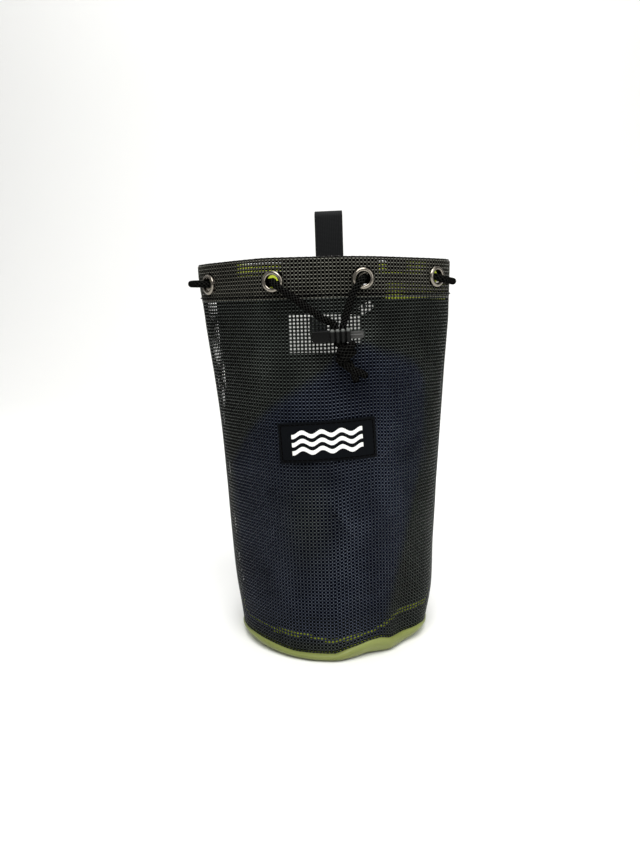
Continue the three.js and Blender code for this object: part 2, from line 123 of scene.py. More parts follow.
def placeOnWall(around, height, out):
    around, height, out = np.broadcast_arrays(*(np.asarray(v, float) for v in (around, height, out)))
    level = np.clip(height / 2, 0, len(levels) - 1.001)
    low, turned = level.astype(int), around % 360
    left = np.minimum(turned.astype(int), 359)
    up, across = level - low, turned - left
    corner = lambda grid: (
        (grid[low, left] * (1 - across) + grid[low, left + 1] * across) * (1 - up)
        + (grid[low + 1, left] * (1 - across) + grid[low + 1, left + 1] * across) * up
    )
    dent = sum(
        depth * np.exp(-(fromFront(around - middle) / spread) ** 2) * np.exp(-((height - at) / reach) ** 2)
        for middle, at, spread, reach, depth in wall["dents"]
    )
    turn = facingAt(around, height)
    reach = out - dent
    return np.stack(
        [corner(outlineX) + np.sin(turn) * reach, corner(outlineY) - np.cos(turn) * reach, height], axis=-1
    )


def facingOut(around, height):
    # turns a piece that lies flat so that it faces out of the wall
    face = facingAt(around, height)
    return Vector((math.sin(face), -math.cos(face), 0)).to_track_quat("Z", "Y").to_matrix()


def clearSelection():
    if bpy.context.object and bpy.context.object.mode != "OBJECT":
        bpy.ops.object.mode_set(mode="OBJECT")
    bpy.ops.object.select_all(action="DESELECT")


def pick(piece):
    clearSelection()
    bpy.context.view_layer.objects.active = piece
    piece.select_set(True)


def openEdit(piece, chosen=None):
    pick(piece)
    if chosen is not None:  # a mask of vertices
        for part in (piece.data.polygons, piece.data.edges, piece.data.vertices):
            part.foreach_set("select", np.zeros(len(part), bool))
        piece.data.vertices.foreach_set("select", np.asarray(chosen, bool))
    bpy.ops.object.mode_set(mode="EDIT")
    bpy.ops.mesh.select_mode(type="VERT")
    if chosen is None:
        bpy.ops.mesh.select_all(action="SELECT")


def closeEdit():
    bpy.ops.object.mode_set(mode="OBJECT")


def applyModifier(piece, kind, **settings):
    pick(piece)
    modifier = piece.modifiers.new(kind.lower(), kind)
    for name, value in settings.items():
        setattr(modifier, name, value)
    bpy.ops.object.modifier_apply(modifier=modifier.name)


def bevelEdges(piece, width, segments, angle=60):
    applyModifier(piece, "BEVEL", width=width * mm, segments=segments, limit_method="ANGLE",
                  angle_limit=math.radians(angle))


def mergeDoubles(piece, threshold=1e-6):
    openEdit(piece)
    bpy.ops.mesh.remove_doubles(threshold=threshold)
    closeEdit()


def turnNormalsOut(piece):
    openEdit(piece)
    bpy.ops.mesh.normals_make_consistent(inside=False)
    closeEdit()


def setAttribute(piece, name, values):
    values = np.asarray(values, np.float32).ravel()
    piece.data.attributes.new(name, "FLOAT", "POINT").data.foreach_set("value", values)


def stretchUv(piece, wide, tall):
    uv = piece.data.uv_layers[0]
    spread = np.empty(len(uv.data) * 2, np.float32)
    uv.data.foreach_get("uv", spread)
    uv.data.foreach_set("uv", (spread.reshape(-1, 2) * (wide, tall)).astype(np.float32).ravel())


def spotsOf(piece):
    spots = np.empty(len(piece.data.vertices) * 3, np.float32)
    piece.data.vertices.foreach_get("co", spots)
    return spots.reshape(-1, 3).astype(float) / mm


def setSpots(piece, spots):
    piece.data.vertices.foreach_set("co", (np.asarray(spots) * mm).astype(np.float32).ravel())
    piece.data.update()


def joinPieces(pieces):
    clearSelection()
    for piece in pieces:
        piece.select_set(True)
    bpy.context.view_layer.objects.active = pieces[0]
    bpy.ops.object.join()
    return pieces[0]


def copyOf(piece):
    copy = piece.copy()
    copy.data = piece.data.copy()
    bpy.context.collection.objects.link(copy)
    return copy


def settle(piece, turn, spot):
    piece.matrix_world = Matrix.Translation(Vector(spot) * mm) @ turn.to_4x4()
    pick(piece)
    bpy.ops.object.transform_apply(location=True, rotation=True, scale=True)


def finishPiece(piece, name, material, nodes=(), body="pouch", angle=None):
    piece.name = piece.data.name = name
    pick(piece)
    if angle is None:
        bpy.ops.object.shade_smooth()
    else:
        bpy.ops.object.shade_smooth_by_angle(angle=math.radians(angle))
    piece.data.materials.clear()
    piece.data.materials.append(material)
    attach(piece, body)
    if nodes:
        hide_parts(*nodes)
    print("made", name, sum(len(face.vertices) - 2 for face in piece.data.polygons), "triangles")
    return piece


def gridSheet(columns, rows, at):
    clearSelection()
    bpy.ops.mesh.primitive_grid_add(x_subdivisions=columns, y_subdivisions=rows, size=1)
    sheet = bpy.context.object
    flat = spotsOf(sheet) * mm + 0.5
    setSpots(sheet, at(flat[:, 0], flat[:, 1]))
    return sheet


def linearColour(code):
    parts = [int(code[i:i + 2], 16) / 255 for i in (1, 3, 5)]
    return [p / 12.92 if p <= 0.04045 else ((p + 0.055) / 1.055) ** 2.4 for p in parts] + [1]


def newMaterial(name, colour, **values):
    material = bpy.data.materials.new(name)
    material.use_nodes = True
    material.diffuse_color = linearColour(colour)
    shader = material.node_tree.nodes["Principled BSDF"]
    shader.inputs["Base Color"].default_value = linearColour(colour)
    for socket, value in values.items():
        shader.inputs[socket.replace("_", " ")].default_value = value
    return material, shader


def linkSocket(material, source, socket):
    if isinstance(source, bpy.types.Node):  # a node stands for its first output
        source = source.outputs[0]
    material.node_tree.links.new(source, socket)


def addNode(material, kind, settings=None, **inputs):
    node = material.node_tree.nodes.new("ShaderNode" + kind)
    for name, value in (settings or {}).items():
        setattr(node, name, value)
    for key, value in inputs.items():
        socket = node.inputs[int(key[1:]) if key[1:].isdigit() else key.replace("_", " ")]
        if isinstance(value, (bpy.types.Node, bpy.types.NodeSocket)):
            linkSocket(material, value, socket)
        else:
            socket.default_value = value
    return node


def feed(material, shader, socket, source):
    linkSocket(material, source, shader.inputs[socket])


def makeCamera():
    data = bpy.data.cameras.new("photoView")
    data.sensor_width = 36
    data.lens = camera["focalPixels"] * 36 / camera["imageHeight"]
    eye = bpy.data.objects.new("photoView", data)
    bpy.context.collection.objects.link(eye)
    stand, yaw = math.radians(camera["around"]), math.radians(camera["around"] + camera["pan"])
    place = Vector((math.sin(stand), -math.cos(stand), 0)) * camera["distance"]
    place.z = camera["height"]
    turn = (
        Matrix.Rotation(yaw, 3, "Z")
        @ Matrix.Rotation(math.radians(90 - camera["pitch"]), 3, "X")
        @ Matrix.Rotation(-math.radians(camera["roll"]), 3, "Z")
    )
    eye.matrix_world = Matrix.Translation(place * mm) @ turn.to_4x4()
    bpy.context.scene.camera = eye


makeCamera()

# Drawcord: braided polyester, woven in and out of the eyelets
cord = {
    "diameter": 4.4, "sides": 32, "step": 0.45, "yarns": 6, "lead": 14, "relief": 0.3, "endRound": 1.2,
    "middle": -1.3, "eyeletHeight": 237, "eyelets": 8,
    # each span between eyelets, from the left: how far it swings out or in, drops and leans
    "spans": (
        (5.6, 0, 0), (6.2, -1.4, -0.3), (5.6, 0, 0), (7.2, 0, 0), (5.6, 0, 0), (3.4, 3, 0.3), (5.6, 0, 0),
    ),
    "halfSpan": ((0, 0), (0.03, 0.55), (0.065, 0.87), (0.12, 0.985), (0.35, 1)),
    # the legs from the lock to the front eyelets: around, height, out
    "leftLeg": (
        (7.6, 211, 6.3), (3, 213.8, 5.8), (-3.4, 219.4, 5.2), (-11, 226.4, 4.8), (-17.6, 232.6, 4.9),
        (-21.2, 236.1, 2.6),
    ),
    "rightLeg": (
        (12.5, 211, 6.3), (13.6, 215.6, 5.8), (15.2, 221.4, 5.2), (17.2, 228.4, 4.8), (19.6, 233.4, 4.4),
        (21.4, 236.2, 2.2),
    ),
}
# its route runs through the lock and the knot, so their sizes stand here too
lock = {
    "middle": 12.2, "height": 204, "out": 6.8, "tilt": 2, "length": 30.3, "cords": (13.1, 17.9),
    # barrel sections from its closed end: along, depth, tall
    "barrel": (
        (0, 8.2, 5.8), (0.6, 9.2, 6.6), (9.4, 9.2, 6.6), (10, 8.8, 6.2), (10.4, 8.8, 6.2), (11.3, 10.6, 8),
        (12.6, 10.6, 8), (13.5, 8.8, 6.2), (13.7, 8.8, 6.2), (14.5, 10.6, 8), (15.7, 10.6, 8),
        (16.6, 8.8, 6.2), (16.8, 8.8, 6.2), (17.6, 10.6, 8), (18.8, 10.6, 8), (19.7, 8.8, 6.2),
        (19.9, 8.8, 6.2), (20.7, 10.6, 8), (22.1, 10.6, 8), (22.5, 10.2, 7.6),
    ),
    # how much of the painted highlight colour the block and the rib fronts get, and the height above which
    # the ribs' edges get all of it
    "blockEnd": 9.7, "blockTone": 0.015, "ribTone": 0.05, "edge": 2.2,
    "boreDepth": 7.3, "boreTall": 4.7, "boreEnd": 6.6,
    "slotWidth": 5, "slotRoom": 2.7, "slotTall": 9, "press": 2.5, "cordFoot": 199.4, "cordLead": 4.8,
    # plunger sections: along, depth, tall
    "plunger": ((9.2, 6.8, 4.2), (23.6, 6.8, 4.2), (24, 7, 4.4), (29.4, 7, 4.4), (30.3, 6, 3.5)),
}
knot = {
    "around": 13.1, "height": 193.3, "out": 7.2, "turns": 1.8, "radius": 4.1, "fall": 8.0, "lean": 3.2,
    "tails": (
        ((11.9, 187.5, 6.9), (14.6, 184.6, 6.2), (19.4, 181.6, 4.3), (22.9, 179, 3.2)),
        ((14.3, 187.5, 6.6), (15.9, 183.6, 5), (17.1, 179.6, 3.4), (17.9, 175.5, 3)),
    ),
}
lockSpot = np.array([lock["middle"], placeOnWall(lock["middle"] / degree, lock["height"], lock["out"])[1],
                     lock["height"]])
knotSpot = placeOnWall(knot["around"], knot["height"], knot["out"])


def smoothPath(points, step):
    points = np.asarray(points, float)
    along = np.concatenate([[0], np.cumsum(np.sqrt(np.linalg.norm(np.diff(points, axis=0), axis=1)))])
    slope = np.gradient(points, along, axis=0)
    fine = np.linspace(0, along[-1], 6000)
    part = np.clip(np.searchsorted(along, fine, "right") - 1, 0, len(along) - 2)
    span = (along[part + 1] - along[part])[:, None]
    t = (fine - along[part])[:, None] / span
    curve = (
        (2 * t**3 - 3 * t**2 + 1) * points[part] + (t**3 - 2 * t**2 + t) * span * slope[part]
        + (3 * t**2 - 2 * t**3) * points[part + 1] + (t**3 - t**2) * span * slope[part + 1]
    )
    length = np.concatenate([[0], np.cumsum(np.linalg.norm(np.diff(curve, axis=0), axis=1))])
    even = np.linspace(0, length[-1], max(4, round(length[-1] / step) + 1))
    return np.stack([np.interp(even, length, curve[:, axis]) for axis in range(3)], axis=-1), length[-1]


def cordTube(points):
    path, length = smoothPath(points, cord["step"])
    ahead = np.gradient(path, axis=0)
    ahead /= np.linalg.norm(ahead, axis=1)[:, None]
    side = np.empty_like(path)
    side[0] = np.cross(ahead[0], (0.3, 0.9, 0.2))
    for row in range(1, len(path)):  # carried along without twist
        side[row] = side[row - 1]
        side[row] -= ahead[row] * np.dot(side[row], ahead[row])
        side[row] /= np.linalg.norm(side[row])
    side[0] /= np.linalg.norm(side[0])
    other = np.cross(ahead, side)

    def section(across, along):
        row = np.rint(along * (len(path) - 1)).astype(int)
        turn = 2 * np.pi * across
        climb = along * length / cord["lead"]
        braid = [abs(np.sin(np.pi * cord["yarns"] * (across + way * climb))) for way in (-1, 1)]
        radius = cord["diameter"] / 2 - cord["relief"] * (1 - np.maximum(*braid))
        outward = np.cos(turn)[:, None] * side[row] + np.sin(turn)[:, None] * other[row]
        ends = np.minimum(along, 1 - along) * length  # rounded at both ends
        narrow = np.sqrt(np.clip(1 - (1 - np.clip(ends / cord["endRound"], 0, 1)) ** 2, 0.05, 1))
        return path[row] + outward * (radius * narrow)[:, None]

    tube = gridSheet(cord["sides"], len(path) - 1, section)
    reach = spotsOf(tube).reshape(len(path), cord["sides"] + 1, 3) - path[:, None]
    depth = (cord["diameter"] / 2 - np.linalg.norm(reach, axis=2)) / cord["relief"]
    setAttribute(tube, "crown", np.clip(1 - depth, 0, 1))  # 1 on top of a yarn, 0 between yarns
    openEdit(tube)
    bpy.ops.mesh.remove_doubles(threshold=1e-6)
    bpy.ops.mesh.select_non_manifold()
    bpy.ops.mesh.fill_holes(sides=0)
    closeEdit()
    stretchUv(tube, np.pi * cord["diameter"], length)  # millimetres of cord
    return tube, path, length


def cordRoute():
    pitch = 360 / cord["eyelets"]
    span = list(cord["halfSpan"]) + [(1 - along, swing) for along, swing in reversed(cord["halfSpan"][1:])]
    spots = list(cord["leftLeg"])
    for index, (reach, drop, lean) in enumerate(cord["spans"]):
        side = -1 if index % 2 == 0 else 1
        for along, swing in span:
            hang = lean * math.sin(2 * math.pi * along) - drop * math.sin(math.pi * along) ** 0.5
            spots.append((-pitch * (0.5 + index + along), cord["eyeletHeight"] + hang,
                          cord["middle"] + side * swing * reach))
    spots += [(pitch / 2, cord["eyeletHeight"], cord["middle"])] + list(reversed(cord["rightLeg"]))
    heights = (lock["cordFoot"], lock["height"], lock["height"] + lock["cordLead"])
    ends = [[(lock["middle"] - lock["length"] / 2 + along, lockSpot[1], height) for height in heights]
            for along in lock["cords"]]
    return np.concatenate([ends[0], placeOnWall(*np.array(spots).T), ends[1][::-1]])


# Braided polyester cord: matt black, with a painted highlight on the tops of the crossing yarns
cordCloth, shader = newMaterial("braided polyester cord", "#0b0b0c", Roughness=0.5, Specular_IOR_Level=0.0)
crown = addNode(cordCloth, "Attribute", {"attribute_name": "crown"})
crest = addNode(cordCloth, "MapRange", Value=crown.outputs["Fac"], From_Min=0.78, From_Max=1.0)
uv = addNode(cordCloth, "UVMap")
fibre = addNode(cordCloth, "TexNoise", Vector=uv, Scale=1.6, Detail=3.0)  # fibres, 0.6 mm
# painted highlight: the yarns' tops lighter, broken up by the fibres
paintedLight = addNode(cordCloth, "Math", {"operation": "MULTIPLY"}, _0=crest, _1=fibre)
tone = addNode(cordCloth, "Mix", {"data_type": "RGBA"}, Factor=paintedLight,
               _6=linearColour("#000000"), _7=linearColour("#2b2b29"))
feed(cordCloth, shader, "Base Color", tone.outputs[2])
bump = addNode(cordCloth, "Bump", Height=fibre, Strength=0.35, Distance=0.0002)
feed(cordCloth, shader, "Normal", bump)

drawcord, cordPath, cordLength = cordTube(cordRoute())
finishPiece(drawcord, "drawcord_braid", cordCloth, ["drawcord"])


def knotStrands():
    # both strands come down out of the lock, one wraps round the other and both leave as tails
    left, right = (lock["middle"] - lock["length"] / 2 + along for along in lock["cords"])
    top = knot["height"] + 6.6
    x, y, z = knotSpot
    core = [(left, lockSpot[1], top), (x - 1.2, y - 0.4, z + 4.6), (x - 0.2, y, z),
            (x - 0.6, y + 0.2, z - 4.6)]
    angles = np.linspace(-60, -60 + 360 * knot["turns"], 24)
    fall = np.linspace(0.5, -0.5, 24) * knot["fall"]
    lean = np.sin(np.radians(angles - 10)) * knot["lean"]
    wrap = np.stack([x + knot["radius"] * np.sin(np.radians(angles)),
                     y - knot["radius"] * np.cos(np.radians(angles)), z + fall + lean], axis=-1)
    start = [(right, lockSpot[1], top), (right + 0.4, lockSpot[1] - 1.2, top - 1)]
    tails = [placeOnWall(*np.array(tail).T) for tail in knot["tails"]]
    return np.concatenate([core, tails[0]]), np.concatenate([start, wrap, tails[1]])


knotTubes = [cordTube(points)[0] for points in knotStrands()]
tiedKnot = finishPiece(joinPieces(knotTubes), "tied_knot", cordCloth, ["cord_knot"])


# Cord lock: ribbed barrel and sprung plunger
def barThrough(sections):
    clearSelection()
    along, depth, tall = sections[0]
    bpy.ops.mesh.primitive_cube_add(size=mm)
    bar = bpy.context.object
    spots = spotsOf(bar)
    reach = np.outer(spots[:, 0] > 0, (sections[1][0] - along, 0, 0))
    setSpots(bar, spots * (0, depth, tall) + reach + (along, 0, 0))
    for (_, depthNow, tallNow), (there, depthNext, tallNext) in zip(sections, sections[1:]):
        spots = spotsOf(bar)
        far = spots[:, 0].max()
        if there > far + 1e-4:  # carry the end face on
            openEdit(bar, spots[:, 0] > far - 1e-4)
            bpy.ops.mesh.extrude_region_move(TRANSFORM_OT_translate={"value": ((there - far) * mm, 0, 0)})
            closeEdit()
            spots = spotsOf(bar)
        end = spots[:, 0] > there - 1e-4
        spots[end, 1] *= depthNext / depthNow
        spots[end, 2] *= tallNext / tallNow
        setSpots(bar, spots)
    turnNormalsOut(bar)
    return bar


def boxCutter(low, high):
    clearSelection()
    bpy.ops.mesh.primitive_cube_add(size=1)
    cutter = bpy.context.object
    low, high = np.array(low), np.array(high)
    setSpots(cutter, (spotsOf(cutter) * mm + 0.5) * (high - low) + low)
    return cutter


def cutAway(piece, cutter):
    applyModifier(piece, "BOOLEAN", object=cutter, operation="DIFFERENCE", solver="EXACT")
    bpy.data.objects.remove(cutter)


# Acetal, moulded: satin black with a fine spark texture, a painted highlight on the ribs' upper edges and
# painted shade in the grooves
lockPlastic, shader = newMaterial("moulded acetal, black", "#121314", Roughness=0.42, Specular_IOR_Level=0.09)
crown = addNode(lockPlastic, "Attribute", {"attribute_name": "crown"})
tone = addNode(lockPlastic, "Mix", {"data_type": "RGBA"}, Factor=crown.outputs["Fac"],
               _6=linearColour("#020202"), _7=linearColour("#6a6c69"))
feed(lockPlastic, shader, "Base Color", tone.outputs[2])
spot = addNode(lockPlastic, "TexCoord")
spark = addNode(lockPlastic, "TexNoise", Vector=spot.outputs["Object"], Scale=2500.0, Detail=2.0)  # 0.4 mm
rough = addNode(lockPlastic, "MapRange", Value=spark, To_Min=0.34, To_Max=0.52)
feed(lockPlastic, shader, "Roughness", rough)
bump = addNode(lockPlastic, "Bump", Height=spark, Strength=0.12, Distance=0.0001)
feed(lockPlastic, shader, "Normal", bump)
# The plunger is the same plastic in grey, its mould lines run along it
plungerPlastic, shader = newMaterial("moulded acetal, grey", "#2e2e2c", Roughness=0.4,
                                     Specular_IOR_Level=0.35)
spot = addNode(plungerPlastic, "TexCoord")
line = addNode(plungerPlastic, "TexWave", {"bands_direction": "Z"}, Vector=spot.outputs["Object"],
               Scale=170.0, Distortion=0.6)  # lines 1.8 mm apart
bump = addNode(plungerPlastic, "Bump", Height=line.outputs[1], Strength=0.7, Distance=0.0004)
feed(plungerPlastic, shader, "Normal", bump)


def slotCutter(extra=0):
    half, room = lock["slotWidth"] / 2, lock["slotRoom"]
    low, high = lock["cords"][0] - room, lock["cords"][1] + room + extra
    return boxCutter((low, -half, -lock["slotTall"]), (high, half, lock["slotTall"]))


lockTurn = Matrix.Rotation(-math.radians(lock["tilt"]), 3, "Y")
lockStart = Vector(lockSpot) - lockTurn @ Vector((lock["length"] / 2, 0, 0))
barrel = barThrough(lock["barrel"])
bevelEdges(barrel, 0.6, 3)
half = (lock["boreDepth"] / 2, lock["boreTall"] / 2)
cutAway(barrel, boxCutter((lock["boreEnd"], -half[0], -half[1]), (lock["length"], *half)))
cutAway(barrel, slotCutter())
# a cut at the height where the painted highlight on the ribs' edges begins
openEdit(barrel)
bpy.ops.mesh.bisect(plane_co=(0, 0, lock["edge"] * mm), plane_no=(0, 0, 1))
closeEdit()
along, depth, tall = spotsOf(barrel).T
stands = np.clip((np.maximum(abs(depth) / 5.3, abs(tall) / 4) - 0.82) / 0.16, 0, 1)
stands *= np.where(tall > lock["edge"] + 0.1, 1, lock["ribTone"])
# 1 on the ribs' upper edges for a painted highlight, 0 in the grooves for painted shade
setAttribute(barrel, "crown", np.where(along < lock["blockEnd"], lock["blockTone"], stands))
settle(barrel, lockTurn, lockStart)
finishPiece(barrel, "ribbed_barrel", lockPlastic, ["lock_barrel"], angle=40)
plunger = barThrough(lock["plunger"])
bevelEdges(plunger, 0.5, 3)
cutAway(plunger, slotCutter(lock["press"]))
settle(plunger, lockTurn, lockStart)
finishPiece(plunger, "sprung_plunger", plungerPlastic, ["lock_plunger"], body="plunger", angle=40)

print("cord length", round(cordLength), "mm")


# Foam float: a sheet of closed-cell foam curled inside the front
pad = {
    "thickness": 5.3, "out": -3.46, "foot": 11.2, "left": -63, "rightFoot": 32, "rightTop": 63,
    "spreadRate": 1.4, "ripple": 0.35, "edge": 1.6,
    "tops": (
        (-63, 120), (-42, 147), (-28, 161), (0, 182), (6, 189), (11, 199), (24, 199), (32, 195), (42, 192),
        (54, 186), (60, 176), (63, 160),
    ),
}
# Closed-cell foam, die-cut: navy, matt, tiny cells on its skin
foam, shader = newMaterial("closed-cell foam, die-cut", "#020413", Roughness=0.8, Specular_IOR_Level=0.0)
spot = addNode(foam, "TexCoord")
cloud = addNode(foam, "TexNoise", Vector=spot.outputs["Object"], Scale=30.0, Detail=3.0)  # 33 mm
tone = addNode(foam, "Mix", {"data_type": "RGBA"}, Factor=cloud,
               _6=linearColour("#01020e"), _7=linearColour("#030517"))
feed(foam, shader, "Base Color", tone.outputs[2])
cell = addNode(foam, "TexVoronoi", Vector=spot.outputs["Object"], Scale=1400.0)  # 0.7 mm
bump = addNode(foam, "Bump", Height=cell, Strength=0.3, Distance=0.0003)
feed(foam, shader, "Normal", bump)


def padRight(up):
    return pad["rightFoot"] + (pad["rightTop"] - pad["rightFoot"]) * np.clip(pad["spreadRate"] * up, 0, 1)


def padForm(across, up):
    right = padRight(up)
    top = readTable(pad["tops"], pad["left"] + (pad["rightTop"] - pad["left"]) * across)
    height = pad["foot"] + (top - pad["foot"]) * up
    ripple = pad["ripple"] * np.sin(across * 19 + 2 * up) * np.sin(up * 15)
    return placeOnWall(pad["left"] + (right - pad["left"]) * across, height, pad["out"] + ripple)


floatPad = gridSheet(72, 72, padForm)
applyModifier(floatPad, "SOLIDIFY", thickness=pad["thickness"] * mm, offset=-1)
bevelEdges(floatPad, pad["edge"], 3, 50)
finishPiece(floatPad, "foam_float", foam, ["float_pad"], angle=50)


# Coated mesh: strands woven flat, then draped on the wall
weave = {
    "columns": 190, "rowPitch": 2.17, "strand": 1.16, "strandTall": 0.34, "crimp": 0.1,
    # painted highlight on the strands' ridges, for strands across and up, and how much of it is left where
    # they cross
    "shine": (1.0, 0.9), "crossing": 0.1,  # of strands across and up, and where they cross
    # how much of the painted highlight is left up the wall, for strands across and up
    "across": ((0, 0.88), (70, 0.88), (150, 0.91), (228, 0.91)),
    "up": ((0, 1.04), (70, 1.04), (160, 0.8), (228, 0.74)),
    # and towards the sides of the pouch: painted shade where the strands up turn away from the light
    "acrossSide": ((-180, 1), (-90, 1.05), (-55, 1.05), (-25, 1), (20, 1), (45, 0.93), (90, 0.93), (180, 1)),
    "upSide": (
        (-180, 1), (-90, 0.68), (-70, 0.68), (-45, 0.8), (-18, 1), (18, 1), (45, 0.95), (90, 0.92), (180, 1),
    ),
    "deep": "#000000", "rough": 0.26,
}
weave["pitch"] = girth / weave["columns"]


def strandBar(start, along, step, high):
    # three-sided, two crossings long, its ends high and its middle low or the other way round
    across, side = 1 - along, 1 - 2 * along
    clearSelection()
    bpy.ops.mesh.primitive_cylinder_add(vertices=3, radius=1, depth=1, end_fill_type="NOTHING")
    bar = bpy.context.object
    upright = spotsOf(bar) * mm
    spots = np.empty_like(upright)
    spots[:, along] = (upright[:, 2] + 0.5) * 2 * step
    spots[:, across] = side * np.sign(np.round(upright[:, 0], 3)) * weave["strand"] / 2
    spots[:, 2] = np.sign(upright[:, 1]) * weave["strandTall"] / 2
    setSpots(bar, spots)
    plane = [0.0, 0.0, 0.0]
    plane[along] = 1.0
    openEdit(bar)
    bpy.ops.mesh.bisect(plane_co=[step * mm * part for part in plane], plane_no=plane)
    closeEdit()
    spots = spotsOf(bar)
    ridge = abs(spots[:, across]) < 0.01
    inMiddle = abs(spots[:, along] - step) < 0.01
    spots[:, 2] += np.where(inMiddle, -high, high)
    setSpots(bar, spots + np.array(start))
    # the ridge carries the painted highlight, fading to painted shade at the strand's sides
    setAttribute(bar, "crown", ridge * weave["shine"][along])  # the shine on its ridge, 0 at its sides
    setAttribute(bar, "run", inMiddle)  # 0 and 1 at each second crossing
    return bar


def flatWeave(columns, rows):
    pitch, rowPitch, crimp = weave["pitch"], weave["rowPitch"], weave["crimp"]
    unit = joinPieces([
        strandBar((0, 0, 0), 0, pitch, crimp), strandBar((0, rowPitch, 0), 0, pitch, -crimp),
        strandBar((0, 0, 0), 1, rowPitch, -crimp), strandBar((pitch, 0, 0), 1, rowPitch, crimp),
    ])
    for count, shift in ((columns // 2, (2 * pitch * mm, 0, 0)), (rows // 2, (0, 2 * rowPitch * mm, 0))):
        applyModifier(unit, "ARRAY", count=count, use_relative_offset=False, use_constant_offset=True,
                      constant_offset_displace=shift, use_merge_vertices=True, merge_threshold=1e-5)
    return unit


# scales the painted highlight on the strands across and on the strands up
def fadeStrands(cloth, across, up):
    crown = cloth.data.attributes["crown"]
    shine = np.empty(len(crown.data), np.float32)
    crown.data.foreach_get("value", shine)
    shine *= np.where(np.isclose(shine, weave["shine"][1]), up, across)
    crown.data.foreach_set("value", shine)


def closeStrands(cloth):
    openEdit(cloth)
    bpy.ops.mesh.remove_doubles(threshold=1e-5)
    bpy.ops.mesh.select_all(action="DESELECT")
    bpy.ops.mesh.select_non_manifold()
    bpy.ops.mesh.fill_holes(sides=4)
    closeEdit()


def meshMaterial(name, crown, bounceColour):
    material, shader = newMaterial(name, crown)
    # painted highlight: a short bright dash on each strand between crossings, narrow on the ridge, with
    # painted shade at its sides and at the crossings
    rides = addNode(material, "Attribute", {"attribute_name": "crown"})
    run = addNode(material, "Attribute", {"attribute_name": "run"})
    turn = addNode(material, "Math", {"operation": "MULTIPLY"}, _0=run.outputs["Fac"], _1=math.pi)
    swell = addNode(material, "Math", {"operation": "SINE"}, _0=turn)
    crest = addNode(material, "Math", {"operation": "POWER"}, _0=swell, _1=2.2)  # a short dash
    dash = addNode(material, "MapRange", Value=crest, To_Min=weave["crossing"], To_Max=1.0)
    ridge = addNode(material, "Math", {"operation": "POWER"}, _0=rides.outputs["Fac"], _1=2.0)  # narrow
    top = addNode(material, "Math", {"operation": "MULTIPLY"}, _0=ridge, _1=dash)
    spot = addNode(material, "TexCoord")
    # painted highlight that varies in patches about 22 mm across, standing in for light on small wrinkles
    patch = addNode(material, "TexNoise", Vector=spot.outputs["Object"], Scale=45.0, Detail=4.0)  # 22 mm
    patchyHighlight = addNode(material, "MapRange", Value=patch, From_Min=0.3, From_Max=0.7,
                   To_Min=0.6, To_Max=1.1)
    share = addNode(material, "Math", {"operation": "MULTIPLY"}, _0=top, _1=patchyHighlight)
    # painted blue bounce light from the foam on the strands in front of it
    bounce = addNode(material, "Attribute", {"attribute_name": "bounce"})
    paintedLight = addNode(material, "Mix", {"data_type": "RGBA"}, Factor=bounce.outputs["Fac"],
                  _6=linearColour(crown), _7=linearColour(bounceColour))
    # the strands' black mixed with the painted highlight colour
    tone = addNode(material, "Mix", {"data_type": "RGBA"}, Factor=share,
                   _6=linearColour(weave["deep"]), _7=paintedLight.outputs[2])
    feed(material, shader, "Base Color", tone.outputs[2])
    # dull at crossings
    shine = addNode(material, "MapRange", Value=share, To_Min=0.01, To_Max=0.55)
    feed(material, shader, "Specular IOR Level", shine)
    grain = addNode(material, "TexNoise", Vector=spot.outputs["Object"], Scale=1600.0, Detail=2.0)  # 0.6 mm
    rough = weave["rough"]
    gloss = addNode(material, "MapRange", Value=grain, To_Min=rough - 0.1, To_Max=rough + 0.12)
    feed(material, shader, "Roughness", gloss)
    bump = addNode(material, "Bump", Height=grain, Strength=0.2, Distance=0.0002)
    feed(material, shader, "Normal", bump)
    return material


# Vinyl-coated polyester mesh, woven and fused: near black, a painted highlight dash, glossy too, on each
# strand between crossings, tinted blue by painted bounce light over the foam
meshVinyl = meshMaterial("vinyl-coated polyester mesh", "#5a615b", "#545d70")
# The hem's two layers lie on each other, a little browner, with a brighter painted highlight
hemVinyl = meshMaterial("vinyl-coated mesh, doubled", "#87867a", "#87867a")

panels = {
    "front": {"columns": 96, "start": -48 * 360 / weave["columns"], "lap": 0.0},
    "back": {"columns": 98, "start": 46 * 360 / weave["columns"], "lap": 0.75},  # two columns under the front
    "rows": 102, "middle": -0.6, "lapWidth": 4.5,
    # painted highlights where the dents would catch the light: around, height, how wide, how tall, how much
    # more
    "gleams": ((-28, 192, 8, 24, 0.3), (-6, 176, 7, 14, 0.18), (24, 208, 8, 12, 0.2), (34, 126, 8, 24, 0.2)),
    # a crease slants down under the label, the cloth to its right stands out and gets more painted highlight
    "crease": {
        "near": 8, "height": 94, "slant": 0.6, "long": 20, "edge": 2.4, "wide": 14, "out": 2.4, "shine": 0.3,
    },
    # less painted bounce light where the foam is taken to lie back from the mesh: around, height, how wide,
    # how tall, how much less
    "hollow": {"near": -8, "height": 92, "wide": 13, "tall": 30, "less": 0.7},
}


def creaseShare(around, height):
    crease = panels["crease"]
    side, up = (fromFront(around) - crease["near"]) * degree, height - crease["height"]
    beyond = side + crease["slant"] * up
    rise = np.clip(1 + beyond / crease["edge"], 0, 1) * np.exp(-np.maximum(beyond, 0) / crease["wide"])
    return rise * np.clip(1 - np.abs(up) / crease["long"], 0, 1)


def softSpot(near, height, side, up, wide, tall):
    # 1 in the middle of a spot on the wall, fading to 0
    return np.exp(-((near - side) / wide) ** 2 - ((height - up) / tall) ** 2)


